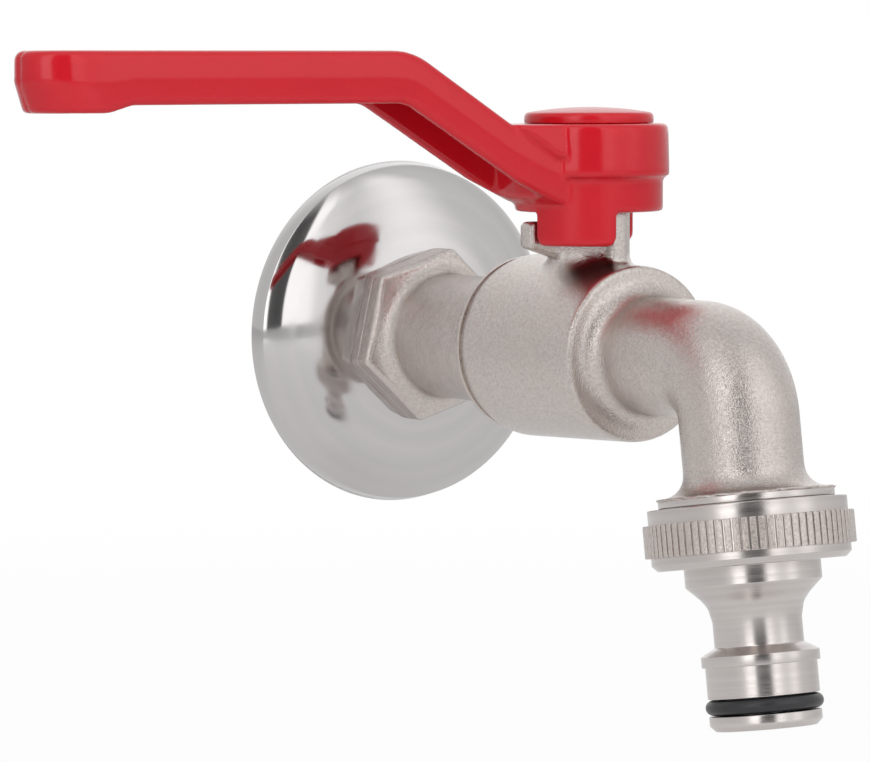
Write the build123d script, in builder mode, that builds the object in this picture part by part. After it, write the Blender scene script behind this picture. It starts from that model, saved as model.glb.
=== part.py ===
from build123d import *
import math
import os

# Outdoor ball tap with a cranked lever, a wall rose and a click-on hose nozzle.
# Frame: +Z up. The wall's face is the plane Y = 0 and the tap stands out of it towards -Y.
# The origin lies on the inlet's axis. At rest the lever points to -X and the tap is shut.
# All sizes are millimetres. A place along the inlet is given as its distance out of the wall.

# Wall rose, a polished cup pressed from stainless steel sheet
rose_radius = 28.2
rose_sheet = 0.8
rose_crease_radius = 27.0
rose_crease_height = 2.4
rose_shoulder_radius = 22.6
rose_shoulder_height = 5.7
rose_seat_radius = 12.8
rose_height = 7.0
rose_hole_clearance = 0.3

# Inlet connector, turned from hexagon bar, screwed into the back of the valve body
inlet_thread_diameter = 20.955
inlet_thread_out = 9.0
inlet_thread_chamfer = 1.2
thread_relief_width = 2.2
thread_relief_depth = 1.1
inlet_bore = 13.0
hexagon_across_flats = 25.0
hexagon_thickness = 6.4
hexagon_turn = 18.4
hexagon_edge_break = 0.9
neck_diameter = 20.1
neck_fillet = 2.6
flange_diameter = 27.8
flange_thickness = 0.9
body_seam = 39.4
body_thread_diameter = 24.0
body_thread_length = 8.6
thread_clearance = 0.05

# Ball, floating between two plastic seats
stem_axis = 55.0
ball_diameter = 20.0
ball_bore = 12.0
ball_slot_width = 3.6
ball_slot_floor = 7.4
vent_diameter = 2.0
seat_bore = 12.5
seat_diameter = 18.5
seat_thickness = 5.0
seat_back_offset = 10.5
seat_clearance = 0.05
ball_seat_clearance = 0.03

# Valve body, one brass casting with its chamber, stem housing, stop and spout
chamber_rear_diameter = 28.7
chamber_front_diameter = 26.8
chamber_bevel = 0.75
chamber_bevel_length = 2.0
chamber_front = 68.6
ball_room_diameter = 21.2
housing_diameter = 13.5
housing_top = 23.4
housing_fillet = 2.2
stop_reach = 11.9
stop_width = 3.4
stop_top = 20.0
stop_bottom = 15.6
stop_foot = 14.2
rib_reach = 9.0
rib_width = 3.3
rib_top = 22.6

# Spout, swept round a bend that is a little stouter than its two ends
spout_diameter = 17.8
spout_bend_diameter = 19.3
spout_bend_radius = 10.0
spout_tilt = 8.8
spout_cross = 92.1
water_way = 12.0
spout_root_fillet = 1.5

# Spout end, measured along the outlet's axis from the height of the inlet
lip_start = 14.6
lip_edge = 19.2
lip_radius = 13.3
lip_edge_thickness = 0.25
relief_radius = 12.2
relief_start = 20.1
relief_end = 21.2
outlet_thread_diameter = 26.3
outlet_thread_end = 26.0

# Hose connector, turned brass with a knurled ring, measured along the same axis
connector_top = 20.5
connector_band_radius = 14.65
knurl_top = 22.7
knurl_bottom = 27.5
knurl_radius = 15.5
knurl_count = 78
knurl_depth = 0.35
knurl_groove_share = 0.42
band_chamfer = 0.85
connector_underside = 29.5
washer_thickness = 2.0
shank_radius = 10.03
shank_end = 32.2
throat_start_radius = 8.05
throat_start = 34.1
throat_middle_radius = 7.05
throat_middle = 35.4
throat_radius = 6.55
throat_end = 37.6
rib_cone_start = 41.3
catch_radius = 8.68
catch_start = 42.5
catch_end = 44.05
barrel_radius = 8.2
groove_start = 48.7
groove_end = 51.2
groove_radius = 6.45
tip_radius = 8.25
tip_end = 53.45
tip_chamfer = 0.85
nozzle_bore = 9.6
o_ring_section = 2.2

# Stem, gland rings and the fastening of the lever
stem_diameter = 8.0
stem_bore_clearance = 0.1
collar_diameter = 10.4
collar_bottom = 10.4
collar_thickness = 1.4
collar_room_clearance = 0.25
thrust_washer_thickness = 1.1
axial_clearance = 0.05
tang_thickness = 3.3
tang_width = 8.4
tang_lift = 0.2
stem_ring_section = 1.5
stem_ring_heights = (15.4, 19.2)
stem_ring_gap = 0.05
stem_flats = 5.8
stem_thread_diameter = 6.0
stem_thread_end = 34.2
lock_washer_diameter = 12.0
lock_washer_thickness = 0.8
nut_across_flats = 10.0
nut_height = 4.2

# Lever handle, a coated die casting: hub, two stop tabs and a channel-shaped arm
hub_web_bottom = 24.0
hub_web_top = 28.8
hub_fit_clearance = 0.1
hub_top = 34.9
hub_top_radius = 12.2
hub_lip_radius = 12.4
hub_lip_height = 26.8
hub_lower_radius = 11.4
hub_lower_bottom = 21.4
hub_edge_break = 0.6
hub_room_radius = 9.4
nut_room_radius = 9.0
tab_bottom = 16.3
tab_corner = 1.2
stop_gap_angle = 1.3
shoulder_half_width = 8.0
shoulder_left = -19.3
shoulder_foot_left = -9.6
shoulder_bottom = 22.3
arm_half_width = 5.8
arm_wall = 2.0
arm_skin = 2.2
arm_slope = 32.0
arm_top_foot = -18.7
arm_bottom_foot = -13.4
arm_bottom_foot_height = 23.4
grip_top = 46.0
grip_bottom = 38.2
grip_end = -101.9
grip_end_rake = 1.6
grip_lip_bottom = 37.1
grip_lip_start = -86.0
grip_lip_ramp = 3.6
grip_bend_radius = 11.0
grip_under_bend_radius = 6.0
grip_end_wall = 3.0
channel_hub_end = -16.2
arm_edge_radius = 1.5

# Cap pressed into the hub's top
cap_radius = 10.0
cap_flange_top = 36.5
cap_dome_top = 37.4
cap_edge_break = 0.7
cap_skirt_bottom = 31.6
cap_skirt_wall = 1.0
cap_skirt_clearance = 0.05
cap_roof = 1.2

# Values that follow from the sizes above
hexagon_front = rose_height + hexagon_thickness
thread_relief_radius = inlet_thread_diameter / 2 - thread_relief_depth
body_thread_end = body_seam + body_thread_length
inlet_seat_back = stem_axis - seat_back_offset
outlet_seat_back = stem_axis + seat_back_offset
stem_shoulder = hub_web_bottom
collar_top = collar_bottom + collar_thickness
thrust_washer_bottom = collar_top + axial_clearance
thrust_washer_top = thrust_washer_bottom + thrust_washer_thickness
stem_bore_radius = stem_diameter / 2 + stem_bore_clearance
tilt = math.radians(spout_tilt)
slope = math.radians(arm_slope)
washer_seat = outlet_thread_end + washer_thickness

stem_plane = Plane(origin=(0, -stem_axis, 0), x_dir=(1, 0, 0), z_dir=(0, -1, 0))
stem_line = Axis((0, -stem_axis, 0), (0, 0, 1))
outlet_plane = Plane(
    origin=(0, -spout_cross, 0),
    x_dir=(1, 0, 0),
    z_dir=(0, math.cos(tilt), -math.sin(tilt)),
)
outlet_line = Axis((0, -spout_cross, 0), (0, -math.sin(tilt), -math.cos(tilt)))


def outlet_disc(distance):
    """Plane square to the outlet's axis, facing down it."""
    return Plane(
        origin=(0, -spout_cross - distance * math.sin(tilt), -distance * math.cos(tilt)),
        x_dir=(1, 0, 0),
        z_dir=(0, -math.sin(tilt), -math.cos(tilt)),
    )


os.makedirs("parts", exist_ok=True)

# Wall rose: the pressed outline is drawn once and given the sheet's thickness inwards
rose_hole_radius = inlet_thread_diameter / 2 + rose_hole_clearance
with BuildPart() as wall_rose:
    with BuildSketch(Plane.XY):
        with BuildLine():
            skirt = Line((rose_radius, 0), (rose_crease_radius, -rose_crease_height))
            shoulder = ThreePointArc(
                skirt @ 1,
                (
                    (rose_crease_radius + rose_shoulder_radius) / 2 + 0.6,
                    -(rose_crease_height + rose_shoulder_height) / 2 - 0.45,
                ),
                (rose_shoulder_radius, -rose_shoulder_height),
            )
            dome = ThreePointArc(
                shoulder @ 1,
                (
                    (rose_shoulder_radius + rose_seat_radius) / 2,
                    -(rose_shoulder_height + rose_height) / 2 - 0.18,
                ),
                (rose_seat_radius, -rose_height),
            )
            Line(dome @ 1, (rose_hole_radius, -rose_height))
            offset(amount=rose_sheet, side=Side.RIGHT)
        make_face()
    revolve(axis=Axis.Y)
    split(bisect_by=Plane.XZ, keep=Keep.TOP)
wall_rose.part.label = "wall_rose"
export_step(wall_rose.part, "parts/wall_rose.step")

# Inlet connector: turned outline, hexagon, water way and the pocket of the inlet seat
with BuildPart() as inlet_connector:
    with BuildSketch(Plane.XY):
        with BuildLine():
            Polyline(
                (inlet_bore / 2, inlet_thread_out),
                (inlet_thread_diameter / 2 - inlet_thread_chamfer, inlet_thread_out),
                (inlet_thread_diameter / 2, inlet_thread_out - inlet_thread_chamfer),
                (inlet_thread_diameter / 2, thread_relief_width - rose_height),
                (thread_relief_radius, thread_relief_width - rose_height),
                (thread_relief_radius, -rose_height),
                (neck_diameter / 2, -rose_height),
                (neck_diameter / 2, -body_seam + flange_thickness),
                (flange_diameter / 2, -body_seam + flange_thickness),
                (flange_diameter / 2, -body_seam),
                (body_thread_diameter / 2, -body_seam),
                (body_thread_diameter / 2, -body_thread_end),
                (inlet_bore / 2, -body_thread_end),
                close=True,
            )
        make_face()
    revolve(axis=Axis.Y)
    with BuildSketch(Plane.XZ.offset(rose_height)):
        RegularPolygon(hexagon_across_flats / 2, 6, major_radius=False, rotation=hexagon_turn)
        Circle(inlet_bore / 2, mode=Mode.SUBTRACT)
    extrude(amount=hexagon_thickness)
    hexagon_rim = (
        inlet_connector.edges()
        .filter_by_position(Axis.Y, -hexagon_front - 0.01, -hexagon_front + 0.01)
        .filter_by(GeomType.LINE)
    )
    chamfer(hexagon_rim, hexagon_edge_break)
    neck_root = (
        inlet_connector.edges()
        .filter_by_position(Axis.Y, -hexagon_front - 0.01, -hexagon_front + 0.01)
        .filter_by(GeomType.CIRCLE)
        .sort_by(SortBy.RADIUS)[-1]
    )
    fillet(neck_root, neck_fillet)
    with BuildSketch(Plane.XZ.offset(body_thread_end)):
        Circle(seat_diameter / 2 + seat_clearance)
    extrude(amount=-(body_thread_end - inlet_seat_back), mode=Mode.SUBTRACT)
inlet_connector.part.label = "inlet_connector"
export_step(inlet_connector.part, "parts/inlet_connector.step")

# Seats: two plastic rings, each hollowed to the ball's curve on its inner side
with BuildPart() as inlet_seat:
    with BuildSketch(Plane.XZ.offset(inlet_seat_back)):
        Circle(seat_diameter / 2)
        Circle(seat_bore / 2, mode=Mode.SUBTRACT)
    extrude(amount=seat_thickness)
    with Locations((0, -stem_axis, 0)):
        Sphere(ball_diameter / 2 + ball_seat_clearance, mode=Mode.SUBTRACT)
inlet_seat.part.label = "inlet_seat"
export_step(inlet_seat.part, "parts/inlet_seat.step")

with BuildPart() as outlet_seat:
    with BuildSketch(Plane.XZ.offset(outlet_seat_back)):
        Circle(seat_diameter / 2)
        Circle(seat_bore / 2, mode=Mode.SUBTRACT)
    extrude(amount=-seat_thickness)
    with Locations((0, -stem_axis, 0)):
        Sphere(ball_diameter / 2 + ball_seat_clearance, mode=Mode.SUBTRACT)
outlet_seat.part.label = "outlet_seat"
export_step(outlet_seat.part, "parts/outlet_seat.step")

# Ball: bored along X while shut, slotted on top for the stem, with a small vent to the spout side
with BuildPart() as ball:
    with Locations((0, -stem_axis, 0)):
        Sphere(ball_diameter / 2)
    with BuildSketch(Plane.YZ):
        with Locations((-stem_axis, 0)):
            Circle(ball_bore / 2)
    extrude(amount=ball_diameter, both=True, mode=Mode.SUBTRACT)
    with BuildSketch(Plane.XY.offset(ball_slot_floor)):
        with Locations((0, -stem_axis)):
            Rectangle(ball_slot_width, ball_diameter)
    extrude(amount=ball_diameter, mode=Mode.SUBTRACT)
    with BuildSketch(Plane.XZ.offset(stem_axis)):
        Circle(vent_diameter / 2)
    extrude(amount=ball_diameter, mode=Mode.SUBTRACT)
ball.part.label = "ball"
export_step(ball.part, "parts/ball.step")

# Valve body: chamber and stem housing, then the spout, the stop and the rib, then the inside
chamber_rear_radius = chamber_rear_diameter / 2
chamber_front_radius = chamber_front_diameter / 2
turn = math.pi / 2 - tilt
bend_drop = spout_bend_radius * (1 - math.cos(turn))
bend_reach = spout_bend_radius * math.sin(turn)
bend_start = spout_cross + bend_drop * math.tan(tilt) - bend_reach
bend_end = bend_drop / math.cos(tilt)
bend_centre_y = -bend_start
half_turn = turn / 2
bend_middle = (
    0,
    bend_centre_y - spout_bend_radius * math.sin(half_turn),
    -spout_bend_radius * (1 - math.cos(half_turn)),
)
bend_middle_plane = Plane(
    origin=bend_middle,
    x_dir=(1, 0, 0),
    z_dir=(0, -math.cos(half_turn), -math.sin(half_turn)),
)
with BuildPart() as valve_body:
    with BuildSketch(Plane.XY):
        with BuildLine():
            Polyline(
                (0, -body_seam),
                (chamber_rear_radius - chamber_bevel, -body_seam),
                (chamber_rear_radius, -body_seam - chamber_bevel_length),
                (chamber_front_radius, -chamber_front),
                (0, -chamber_front),
                close=True,
            )
        make_face()
    revolve(axis=Axis.Y)
    with BuildSketch(Plane.XY):
        with Locations((0, -stem_axis)):
            Circle(housing_diameter / 2)
    extrude(amount=housing_top)
    housing_root = valve_body.edges().filter_by(
        lambda edge: edge.geom_type == GeomType.BSPLINE and edge.center().Z > 0
    )
    fillet(housing_root, housing_fillet)
    with BuildSketch(Plane.XZ.offset(chamber_front - 2)):
        Circle(spout_diameter / 2)
    extrude(amount=bend_start - chamber_front + 2)
    spout_root = (
        valve_body.edges()
        .filter_by(GeomType.CIRCLE)
        .filter_by_position(Axis.Y, -chamber_front - 0.01, -chamber_front + 0.01)
        .sort_by(SortBy.RADIUS)[0]
    )
    fillet(spout_root, spout_root_fillet)
    with BuildSketch(outlet_plane):
        with BuildLine():
            Polyline(
                (0, bend_end),
                (spout_diameter / 2, bend_end),
                (spout_diameter / 2, lip_start),
            )
            flare = TangentArc(
                (spout_diameter / 2, lip_start),
                (lip_radius, lip_edge - lip_edge_thickness),
                tangent=(0, 1),
            )
            Polyline(
                flare @ 1,
                (lip_radius, lip_edge),
                (relief_radius, relief_start),
                (relief_radius, relief_end),
                (outlet_thread_diameter / 2, relief_end),
                (outlet_thread_diameter / 2, outlet_thread_end),
                (0, outlet_thread_end),
                (0, bend_end),
            )
        make_face()
    revolve(axis=outlet_line)
    with BuildLine() as bend_path:
        ThreePointArc(
            (0, bend_centre_y, 0),
            bend_middle,
            (0, bend_centre_y - bend_reach, -bend_drop),
        )
    with BuildSketch(Plane.XZ.offset(bend_start)) as bend_first:
        Circle(spout_diameter / 2)
    with BuildSketch(bend_middle_plane) as bend_stout:
        Circle(spout_bend_diameter / 2)
    with BuildSketch(outlet_disc(bend_end)) as bend_last:
        Circle(spout_diameter / 2)
    sweep(
        sections=[bend_first.sketch, bend_stout.sketch, bend_last.sketch],
        path=bend_path.wires()[0],
        multisection=True,
    )
    with BuildSketch(stem_plane):
        Polygon(
            (0, stop_top),
            (-stop_reach, stop_top),
            (-stop_reach, stop_bottom),
            (-housing_diameter / 2, stop_foot),
            (-housing_diameter / 2, chamber_front_radius - 3),
            (0, chamber_front_radius - 3),
            align=None,
        )
    extrude(amount=stop_width / 2, both=True)
    with BuildSketch(Plane.XY.offset(chamber_front_radius - 3)):
        with Locations((0, -stem_axis - rib_reach / 2)):
            Rectangle(rib_width, rib_reach)
    extrude(amount=rib_top - chamber_front_radius + 3)
    # inside: connector thread, room for the ball, pocket of the outlet seat
    with BuildSketch(Plane.XY):
        with BuildLine():
            Polyline(
                (0, -body_seam + 1),
                (body_thread_diameter / 2 + thread_clearance, -body_seam + 1),
                (body_thread_diameter / 2 + thread_clearance, -body_thread_end),
                (ball_room_diameter / 2, -body_thread_end),
                (ball_room_diameter / 2, -outlet_seat_back + seat_thickness),
                (seat_diameter / 2 + seat_clearance, -outlet_seat_back + seat_thickness),
                (seat_diameter / 2 + seat_clearance, -outlet_seat_back),
                (water_way / 2, -outlet_seat_back),
                (water_way / 2, -bend_start),
                (0, -bend_start),
                close=True,
            )
        make_face()
    revolve(axis=Axis.Y, mode=Mode.SUBTRACT)
    with BuildLine() as water_path:
        turn_line = ThreePointArc(
            (0, bend_centre_y, 0),
            bend_middle,
            (0, bend_centre_y - bend_reach, -bend_drop),
        )
        Line(turn_line @ 1, outlet_disc(outlet_thread_end + 1).origin)
    with BuildSketch(Plane.XZ.offset(bend_start)):
        Circle(water_way / 2)
    sweep(path=water_path.wires()[0], mode=Mode.SUBTRACT)
    # stem hole, wider below for the collar and the thrust washer
    with BuildSketch(stem_plane):
        with BuildLine():
            Polyline(
                (0, 0),
                (collar_diameter / 2 + collar_room_clearance, 0),
                (collar_diameter / 2 + collar_room_clearance, thrust_washer_top),
                (stem_bore_radius, thrust_washer_top),
                (stem_bore_radius, housing_top + 1),
                (0, housing_top + 1),
                close=True,
            )
        make_face()
    revolve(axis=stem_line, mode=Mode.SUBTRACT)
valve_body.part.label = "valve_body"
export_step(valve_body.part, "parts/valve_body.step")

# Thrust washer between the stem's collar and the housing
with BuildPart() as thrust_washer:
    with BuildSketch(Plane.XY.offset(thrust_washer_bottom)):
        with Locations((0, -stem_axis)):
            Circle(collar_diameter / 2 + collar_room_clearance / 2)
            Circle(stem_bore_radius, mode=Mode.SUBTRACT)
    extrude(amount=thrust_washer_thickness)
thrust_washer.part.label = "thrust_washer"
export_step(thrust_washer.part, "parts/thrust_washer.step")

# Stem: put in from inside, so water pressure can't drive it out
stem_radius = stem_diameter / 2
ring_depth = stem_ring_section - stem_ring_gap
with BuildPart() as stem:
    with BuildSketch(stem_plane):
        with BuildLine():
            Polyline(
                (0, collar_bottom),
                (collar_diameter / 2, collar_bottom),
                (collar_diameter / 2, collar_top),
                (stem_radius, collar_top),
                (stem_radius, stem_shoulder),
                (stem_radius, hub_web_top),
                (stem_thread_diameter / 2, hub_web_top),
                (stem_thread_diameter / 2, stem_thread_end),
                (0, stem_thread_end),
                close=True,
            )
        make_face()
    revolve(axis=stem_line)
    with BuildSketch(Plane.XY.offset(stem_shoulder)):
        for side in (-1, 1):
            with Locations((side * (stem_flats / 2 + stem_radius), -stem_axis)):
                Rectangle(stem_diameter, 2 * stem_diameter)
    extrude(amount=hub_web_top - stem_shoulder, mode=Mode.SUBTRACT)
    for height in stem_ring_heights:
        with BuildSketch(Plane.XY.offset(height - stem_ring_section / 2)):
            with Locations((0, -stem_axis)):
                Circle(stem_radius + 1)
                Circle(stem_bore_radius - stem_ring_gap - stem_ring_section, mode=Mode.SUBTRACT)
        extrude(amount=stem_ring_section, mode=Mode.SUBTRACT)
    with BuildSketch(Plane.XY.offset(ball_slot_floor + tang_lift)):
        with Locations((0, -stem_axis)):
            Rectangle(tang_thickness, tang_width)
    extrude(amount=collar_bottom - ball_slot_floor - tang_lift)
stem.part.label = "stem"
export_step(stem.part, "parts/stem.step")

# Two rubber rings in the stem's grooves
with BuildPart() as stem_o_rings:
    for height in stem_ring_heights:
        with BuildSketch(stem_plane):
            with Locations((stem_bore_radius - stem_ring_gap - stem_ring_section / 2, height)):
                Circle(stem_ring_section / 2)
        revolve(axis=stem_line)
stem_o_rings.part.label = "stem_o_rings"
export_step(stem_o_rings.part, "parts/stem_o_rings.step")

# Lever handle: arm with its channel, then the shoulder and hub, then the stop tabs
stop_half_angle = math.degrees(math.asin(stop_width / 2 / hub_room_radius))
tab_first_angle = 180 + stop_half_angle + stop_gap_angle
tab_span = 90 - 2 * (stop_half_angle + stop_gap_angle)
arm_top_bend = arm_top_foot - (grip_top - hub_top) / math.tan(slope)
arm_bottom_bend = arm_bottom_foot - (grip_bottom - arm_bottom_foot_height) / math.tan(slope)
skin_drop = arm_skin / math.cos(slope)
channel_roof = grip_top - arm_skin
channel_bend = arm_top_foot - (channel_roof - hub_top + skin_drop) / math.tan(slope)
channel_hub_roof = hub_top - skin_drop + (arm_top_foot - channel_hub_end) * math.tan(slope)
with BuildPart() as lever_handle:
    with BuildSketch(stem_plane) as arm_side:
        with BuildLine():
            Polyline(
                (0, hub_top),
                (arm_top_foot, hub_top),
                (arm_top_bend, grip_top),
                (grip_end + grip_end_rake / 2, grip_top),
                (grip_end, (grip_top + grip_bottom) / 2),
                (grip_end + grip_end_rake, grip_lip_bottom),
                (grip_lip_start, grip_lip_bottom),
                (grip_lip_start + grip_lip_ramp, grip_bottom),
                (arm_bottom_bend, grip_bottom),
                (arm_bottom_foot, arm_bottom_foot_height),
                (shoulder_foot_left, shoulder_bottom),
                (0, shoulder_bottom),
                close=True,
            )
        make_face()
        bends = arm_side.vertices().filter_by_position(
            Axis.X, arm_top_bend - 0.1, arm_top_bend + 0.1
        )
        fillet(bends, grip_bend_radius)
        under_bends = arm_side.vertices().filter_by_position(
            Axis.X, arm_bottom_bend - 0.1, arm_bottom_bend + 0.1
        )
        fillet(under_bends.sort_by(Axis.Z)[0], grip_under_bend_radius)
    extrude(amount=arm_half_width, both=True)
    arm_sides = lever_handle.faces().filter_by(Axis.Y)
    fillet(arm_sides.edges(), arm_edge_radius)
    with BuildSketch(stem_plane):
        Polygon(
            (channel_hub_end, channel_hub_roof),
            (channel_bend, channel_roof),
            (grip_end + grip_end_wall, channel_roof),
            (grip_end + grip_end_wall, 0),
            (channel_hub_end, 0),
            align=None,
        )
    extrude(amount=arm_half_width - arm_wall, both=True, mode=Mode.SUBTRACT)
    with BuildSketch(stem_plane):
        Polygon(
            (0, hub_top),
            (shoulder_left, hub_top),
            (shoulder_foot_left, shoulder_bottom),
            (0, shoulder_bottom),
            align=None,
        )
    extrude(amount=shoulder_half_width, both=True)
    with BuildSketch(stem_plane):
        with BuildLine():
            Polyline(
                (0, hub_lower_bottom),
                (hub_lower_radius, hub_lower_bottom),
                (hub_lower_radius, hub_lip_height),
                (hub_lip_radius, hub_lip_height),
                (hub_top_radius, hub_top - hub_edge_break),
                (hub_top_radius - hub_edge_break, hub_top),
                (0, hub_top),
                close=True,
            )
        make_face()
    revolve(axis=stem_line)
    for tab_angle in (tab_first_angle, tab_first_angle - 180):
        with BuildSketch(Plane.XY.offset(tab_bottom)):
            with BuildLine():
                tab_outer = CenterArc((0, -stem_axis), hub_lower_radius, tab_angle, tab_span)
                tab_inner = CenterArc((0, -stem_axis), hub_room_radius, tab_angle, tab_span)
                Line(tab_outer @ 0, tab_inner @ 0)
                Line(tab_outer @ 1, tab_inner @ 1)
            make_face()
        extrude(amount=hub_lower_bottom - tab_bottom)
    tab_corners = (
        lever_handle.edges()
        .filter_by_position(Axis.Z, tab_bottom - 0.01, tab_bottom + 0.01)
        .filter_by(GeomType.LINE)
    )
    fillet(tab_corners, tab_corner)
    with BuildSketch(stem_plane):
        with BuildLine():
            Polyline(
                (0, hub_lower_bottom - 1),
                (hub_room_radius, hub_lower_bottom - 1),
                (hub_room_radius, hub_web_bottom),
                (0, hub_web_bottom),
                close=True,
            )
        make_face()
    revolve(axis=stem_line, mode=Mode.SUBTRACT)
    with BuildSketch(Plane.XY.offset(hub_web_top)):
        with Locations((0, -stem_axis)):
            Circle(nut_room_radius)
    extrude(amount=hub_top - hub_web_top, mode=Mode.SUBTRACT)
    with BuildSketch(Plane.XY.offset(hub_web_bottom)):
        with Locations((0, -stem_axis)):
            Circle(stem_radius + hub_fit_clearance)
            Rectangle(
                stem_flats + 2 * hub_fit_clearance,
                3 * stem_diameter,
                mode=Mode.INTERSECT,
            )
    extrude(amount=hub_web_top - hub_web_bottom, mode=Mode.SUBTRACT)
lever_handle.part.label = "lever_handle"
export_step(lever_handle.part, "parts/lever_handle.step")

# Lock washer and nut that hold the lever on the stem's thread
with BuildPart() as lock_washer:
    with BuildSketch(Plane.XY.offset(hub_web_top)):
        with Locations((0, -stem_axis)):
            Circle(lock_washer_diameter / 2)
            Circle(stem_thread_diameter / 2 + thread_clearance, mode=Mode.SUBTRACT)
    extrude(amount=lock_washer_thickness)
lock_washer.part.label = "lock_washer"
export_step(lock_washer.part, "parts/lock_washer.step")

nut_bottom = hub_web_top + lock_washer_thickness
with BuildPart() as handle_nut:
    with BuildSketch(Plane.XY.offset(nut_bottom)):
        with Locations((0, -stem_axis)):
            RegularPolygon(nut_across_flats / 2, 6, major_radius=False)
            Circle(stem_thread_diameter / 2 + thread_clearance, mode=Mode.SUBTRACT)
    extrude(amount=nut_height)
handle_nut.part.label = "handle_nut"
export_step(handle_nut.part, "parts/handle_nut.step")

# Cap: a shallow dome with a skirt pressed into the hub
skirt_radius = nut_room_radius - cap_skirt_clearance
with BuildPart() as handle_cap:
    with BuildSketch(stem_plane):
        with BuildLine():
            Polyline(
                (0, cap_flange_top - cap_roof),
                (skirt_radius - cap_skirt_wall, cap_flange_top - cap_roof),
                (skirt_radius - cap_skirt_wall, cap_skirt_bottom),
                (skirt_radius, cap_skirt_bottom),
                (skirt_radius, hub_top),
                (cap_radius, hub_top),
                (cap_radius, cap_flange_top - cap_edge_break),
                (cap_radius - cap_edge_break, cap_flange_top),
            )
            TangentArc(
                (0, cap_dome_top),
                (cap_radius - cap_edge_break, cap_flange_top),
                tangent=(1, 0),
            )
            Line((0, cap_dome_top), (0, cap_flange_top - cap_roof))
        make_face()
    revolve(axis=stem_line)
handle_cap.part.label = "handle_cap"
export_step(handle_cap.part, "parts/handle_cap.step")

# Hose connector: turned outline, knurled ring, then the bore and the thread room
with BuildPart() as tap_connector:
    with BuildSketch(outlet_plane):
        with BuildLine():
            Polyline(
                (outlet_thread_diameter / 2 + thread_clearance, connector_top),
                (connector_band_radius, connector_top),
                (connector_band_radius, connector_underside - band_chamfer),
                (connector_band_radius - band_chamfer, connector_underside),
                (shank_radius, connector_underside),
                (shank_radius, shank_end),
                (throat_start_radius, throat_start),
            )
            throat = ThreePointArc(
                (throat_start_radius, throat_start),
                (throat_middle_radius, throat_middle),
                (throat_radius, throat_end),
            )
            Polyline(
                throat @ 1,
                (throat_radius, rib_cone_start),
                (catch_radius, catch_start),
                (catch_radius, catch_end),
                (barrel_radius, catch_end),
                (barrel_radius, groove_start),
                (groove_radius, groove_start),
                (groove_radius, groove_end),
                (tip_radius, groove_end),
                (tip_radius, tip_end - tip_chamfer),
                (tip_radius - tip_chamfer, tip_end),
                (nozzle_bore / 2, tip_end),
                (nozzle_bore / 2, washer_seat),
                (outlet_thread_diameter / 2 + thread_clearance, washer_seat),
                (outlet_thread_diameter / 2 + thread_clearance, connector_top),
            )
        make_face()
    revolve(axis=outlet_line)
    groove_width = 2 * math.pi * knurl_radius / knurl_count * knurl_groove_share
    with BuildSketch(outlet_disc(knurl_top)):
        Circle(knurl_radius)
        with PolarLocations(knurl_radius, knurl_count):
            Rectangle(2 * knurl_depth, groove_width, mode=Mode.SUBTRACT)
        Circle(connector_band_radius - 0.5, mode=Mode.SUBTRACT)
    extrude(amount=knurl_bottom - knurl_top)
tap_connector.part.label = "tap_connector"
export_step(tap_connector.part, "parts/tap_connector.step")

# Flat rubber washer between the spout's end and the connector
with BuildPart() as connector_washer:
    with BuildSketch(outlet_disc(outlet_thread_end)):
        Circle(outlet_thread_diameter / 2 - 0.4)
        Circle(water_way / 2, mode=Mode.SUBTRACT)
    extrude(amount=washer_thickness)
connector_washer.part.label = "connector_washer"
export_step(connector_washer.part, "parts/connector_washer.step")

# Rubber ring in the nozzle's groove
with BuildPart() as nozzle_o_ring:
    with BuildSketch(outlet_plane):
        with Locations((groove_radius + o_ring_section / 2, (groove_start + groove_end) / 2)):
            Circle(o_ring_section / 2)
    revolve(axis=outlet_line)
nozzle_o_ring.part.label = "nozzle_o_ring"
export_step(nozzle_o_ring.part, "parts/nozzle_o_ring.step")
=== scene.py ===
import math

import bmesh
import bpy
from mathutils import Matrix, Vector


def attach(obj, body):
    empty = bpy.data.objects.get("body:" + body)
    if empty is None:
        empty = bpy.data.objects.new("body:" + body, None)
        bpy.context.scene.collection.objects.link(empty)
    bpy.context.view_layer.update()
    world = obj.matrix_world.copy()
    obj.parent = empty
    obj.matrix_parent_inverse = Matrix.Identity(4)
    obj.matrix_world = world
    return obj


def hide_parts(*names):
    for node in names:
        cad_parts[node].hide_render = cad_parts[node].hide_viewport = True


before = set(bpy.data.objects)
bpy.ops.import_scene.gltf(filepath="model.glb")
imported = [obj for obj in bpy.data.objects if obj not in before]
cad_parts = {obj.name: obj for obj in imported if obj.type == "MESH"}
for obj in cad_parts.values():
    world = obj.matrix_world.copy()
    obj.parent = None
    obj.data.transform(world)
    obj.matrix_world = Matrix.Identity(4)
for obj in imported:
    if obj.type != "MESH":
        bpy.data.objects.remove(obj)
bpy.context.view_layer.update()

# Camera, floor and studio: a low three-quarter view from the lever's side. Two tall soft boxes
# stand left and right of the camera, a dark gap between them, in a white room with a pale floor.
MM = 0.001
PHOTO_WIDTH = 870
PHOTO_HEIGHT = 762
FOCAL_PIXELS = 4001.0
CENTRE_X_PIXEL = 434.29
CENTRE_Y_PIXEL = 384.16
CAMERA_AZIMUTH = math.radians(-32.81)
CAMERA_ELEVATION = math.radians(4.45)
CAMERA_ROLL = math.radians(-0.17)
CAMERA_PLACE = Vector((-354.20, -560.32, 42.675)) * MM
SENSOR = 36.0


def direction(azimuth, elevation):
    """The direction from the tap towards a camera or lamp."""
    return Vector((
        math.sin(azimuth) * math.cos(elevation),
        -math.cos(azimuth) * math.cos(elevation),
        math.sin(elevation),
    ))


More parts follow.
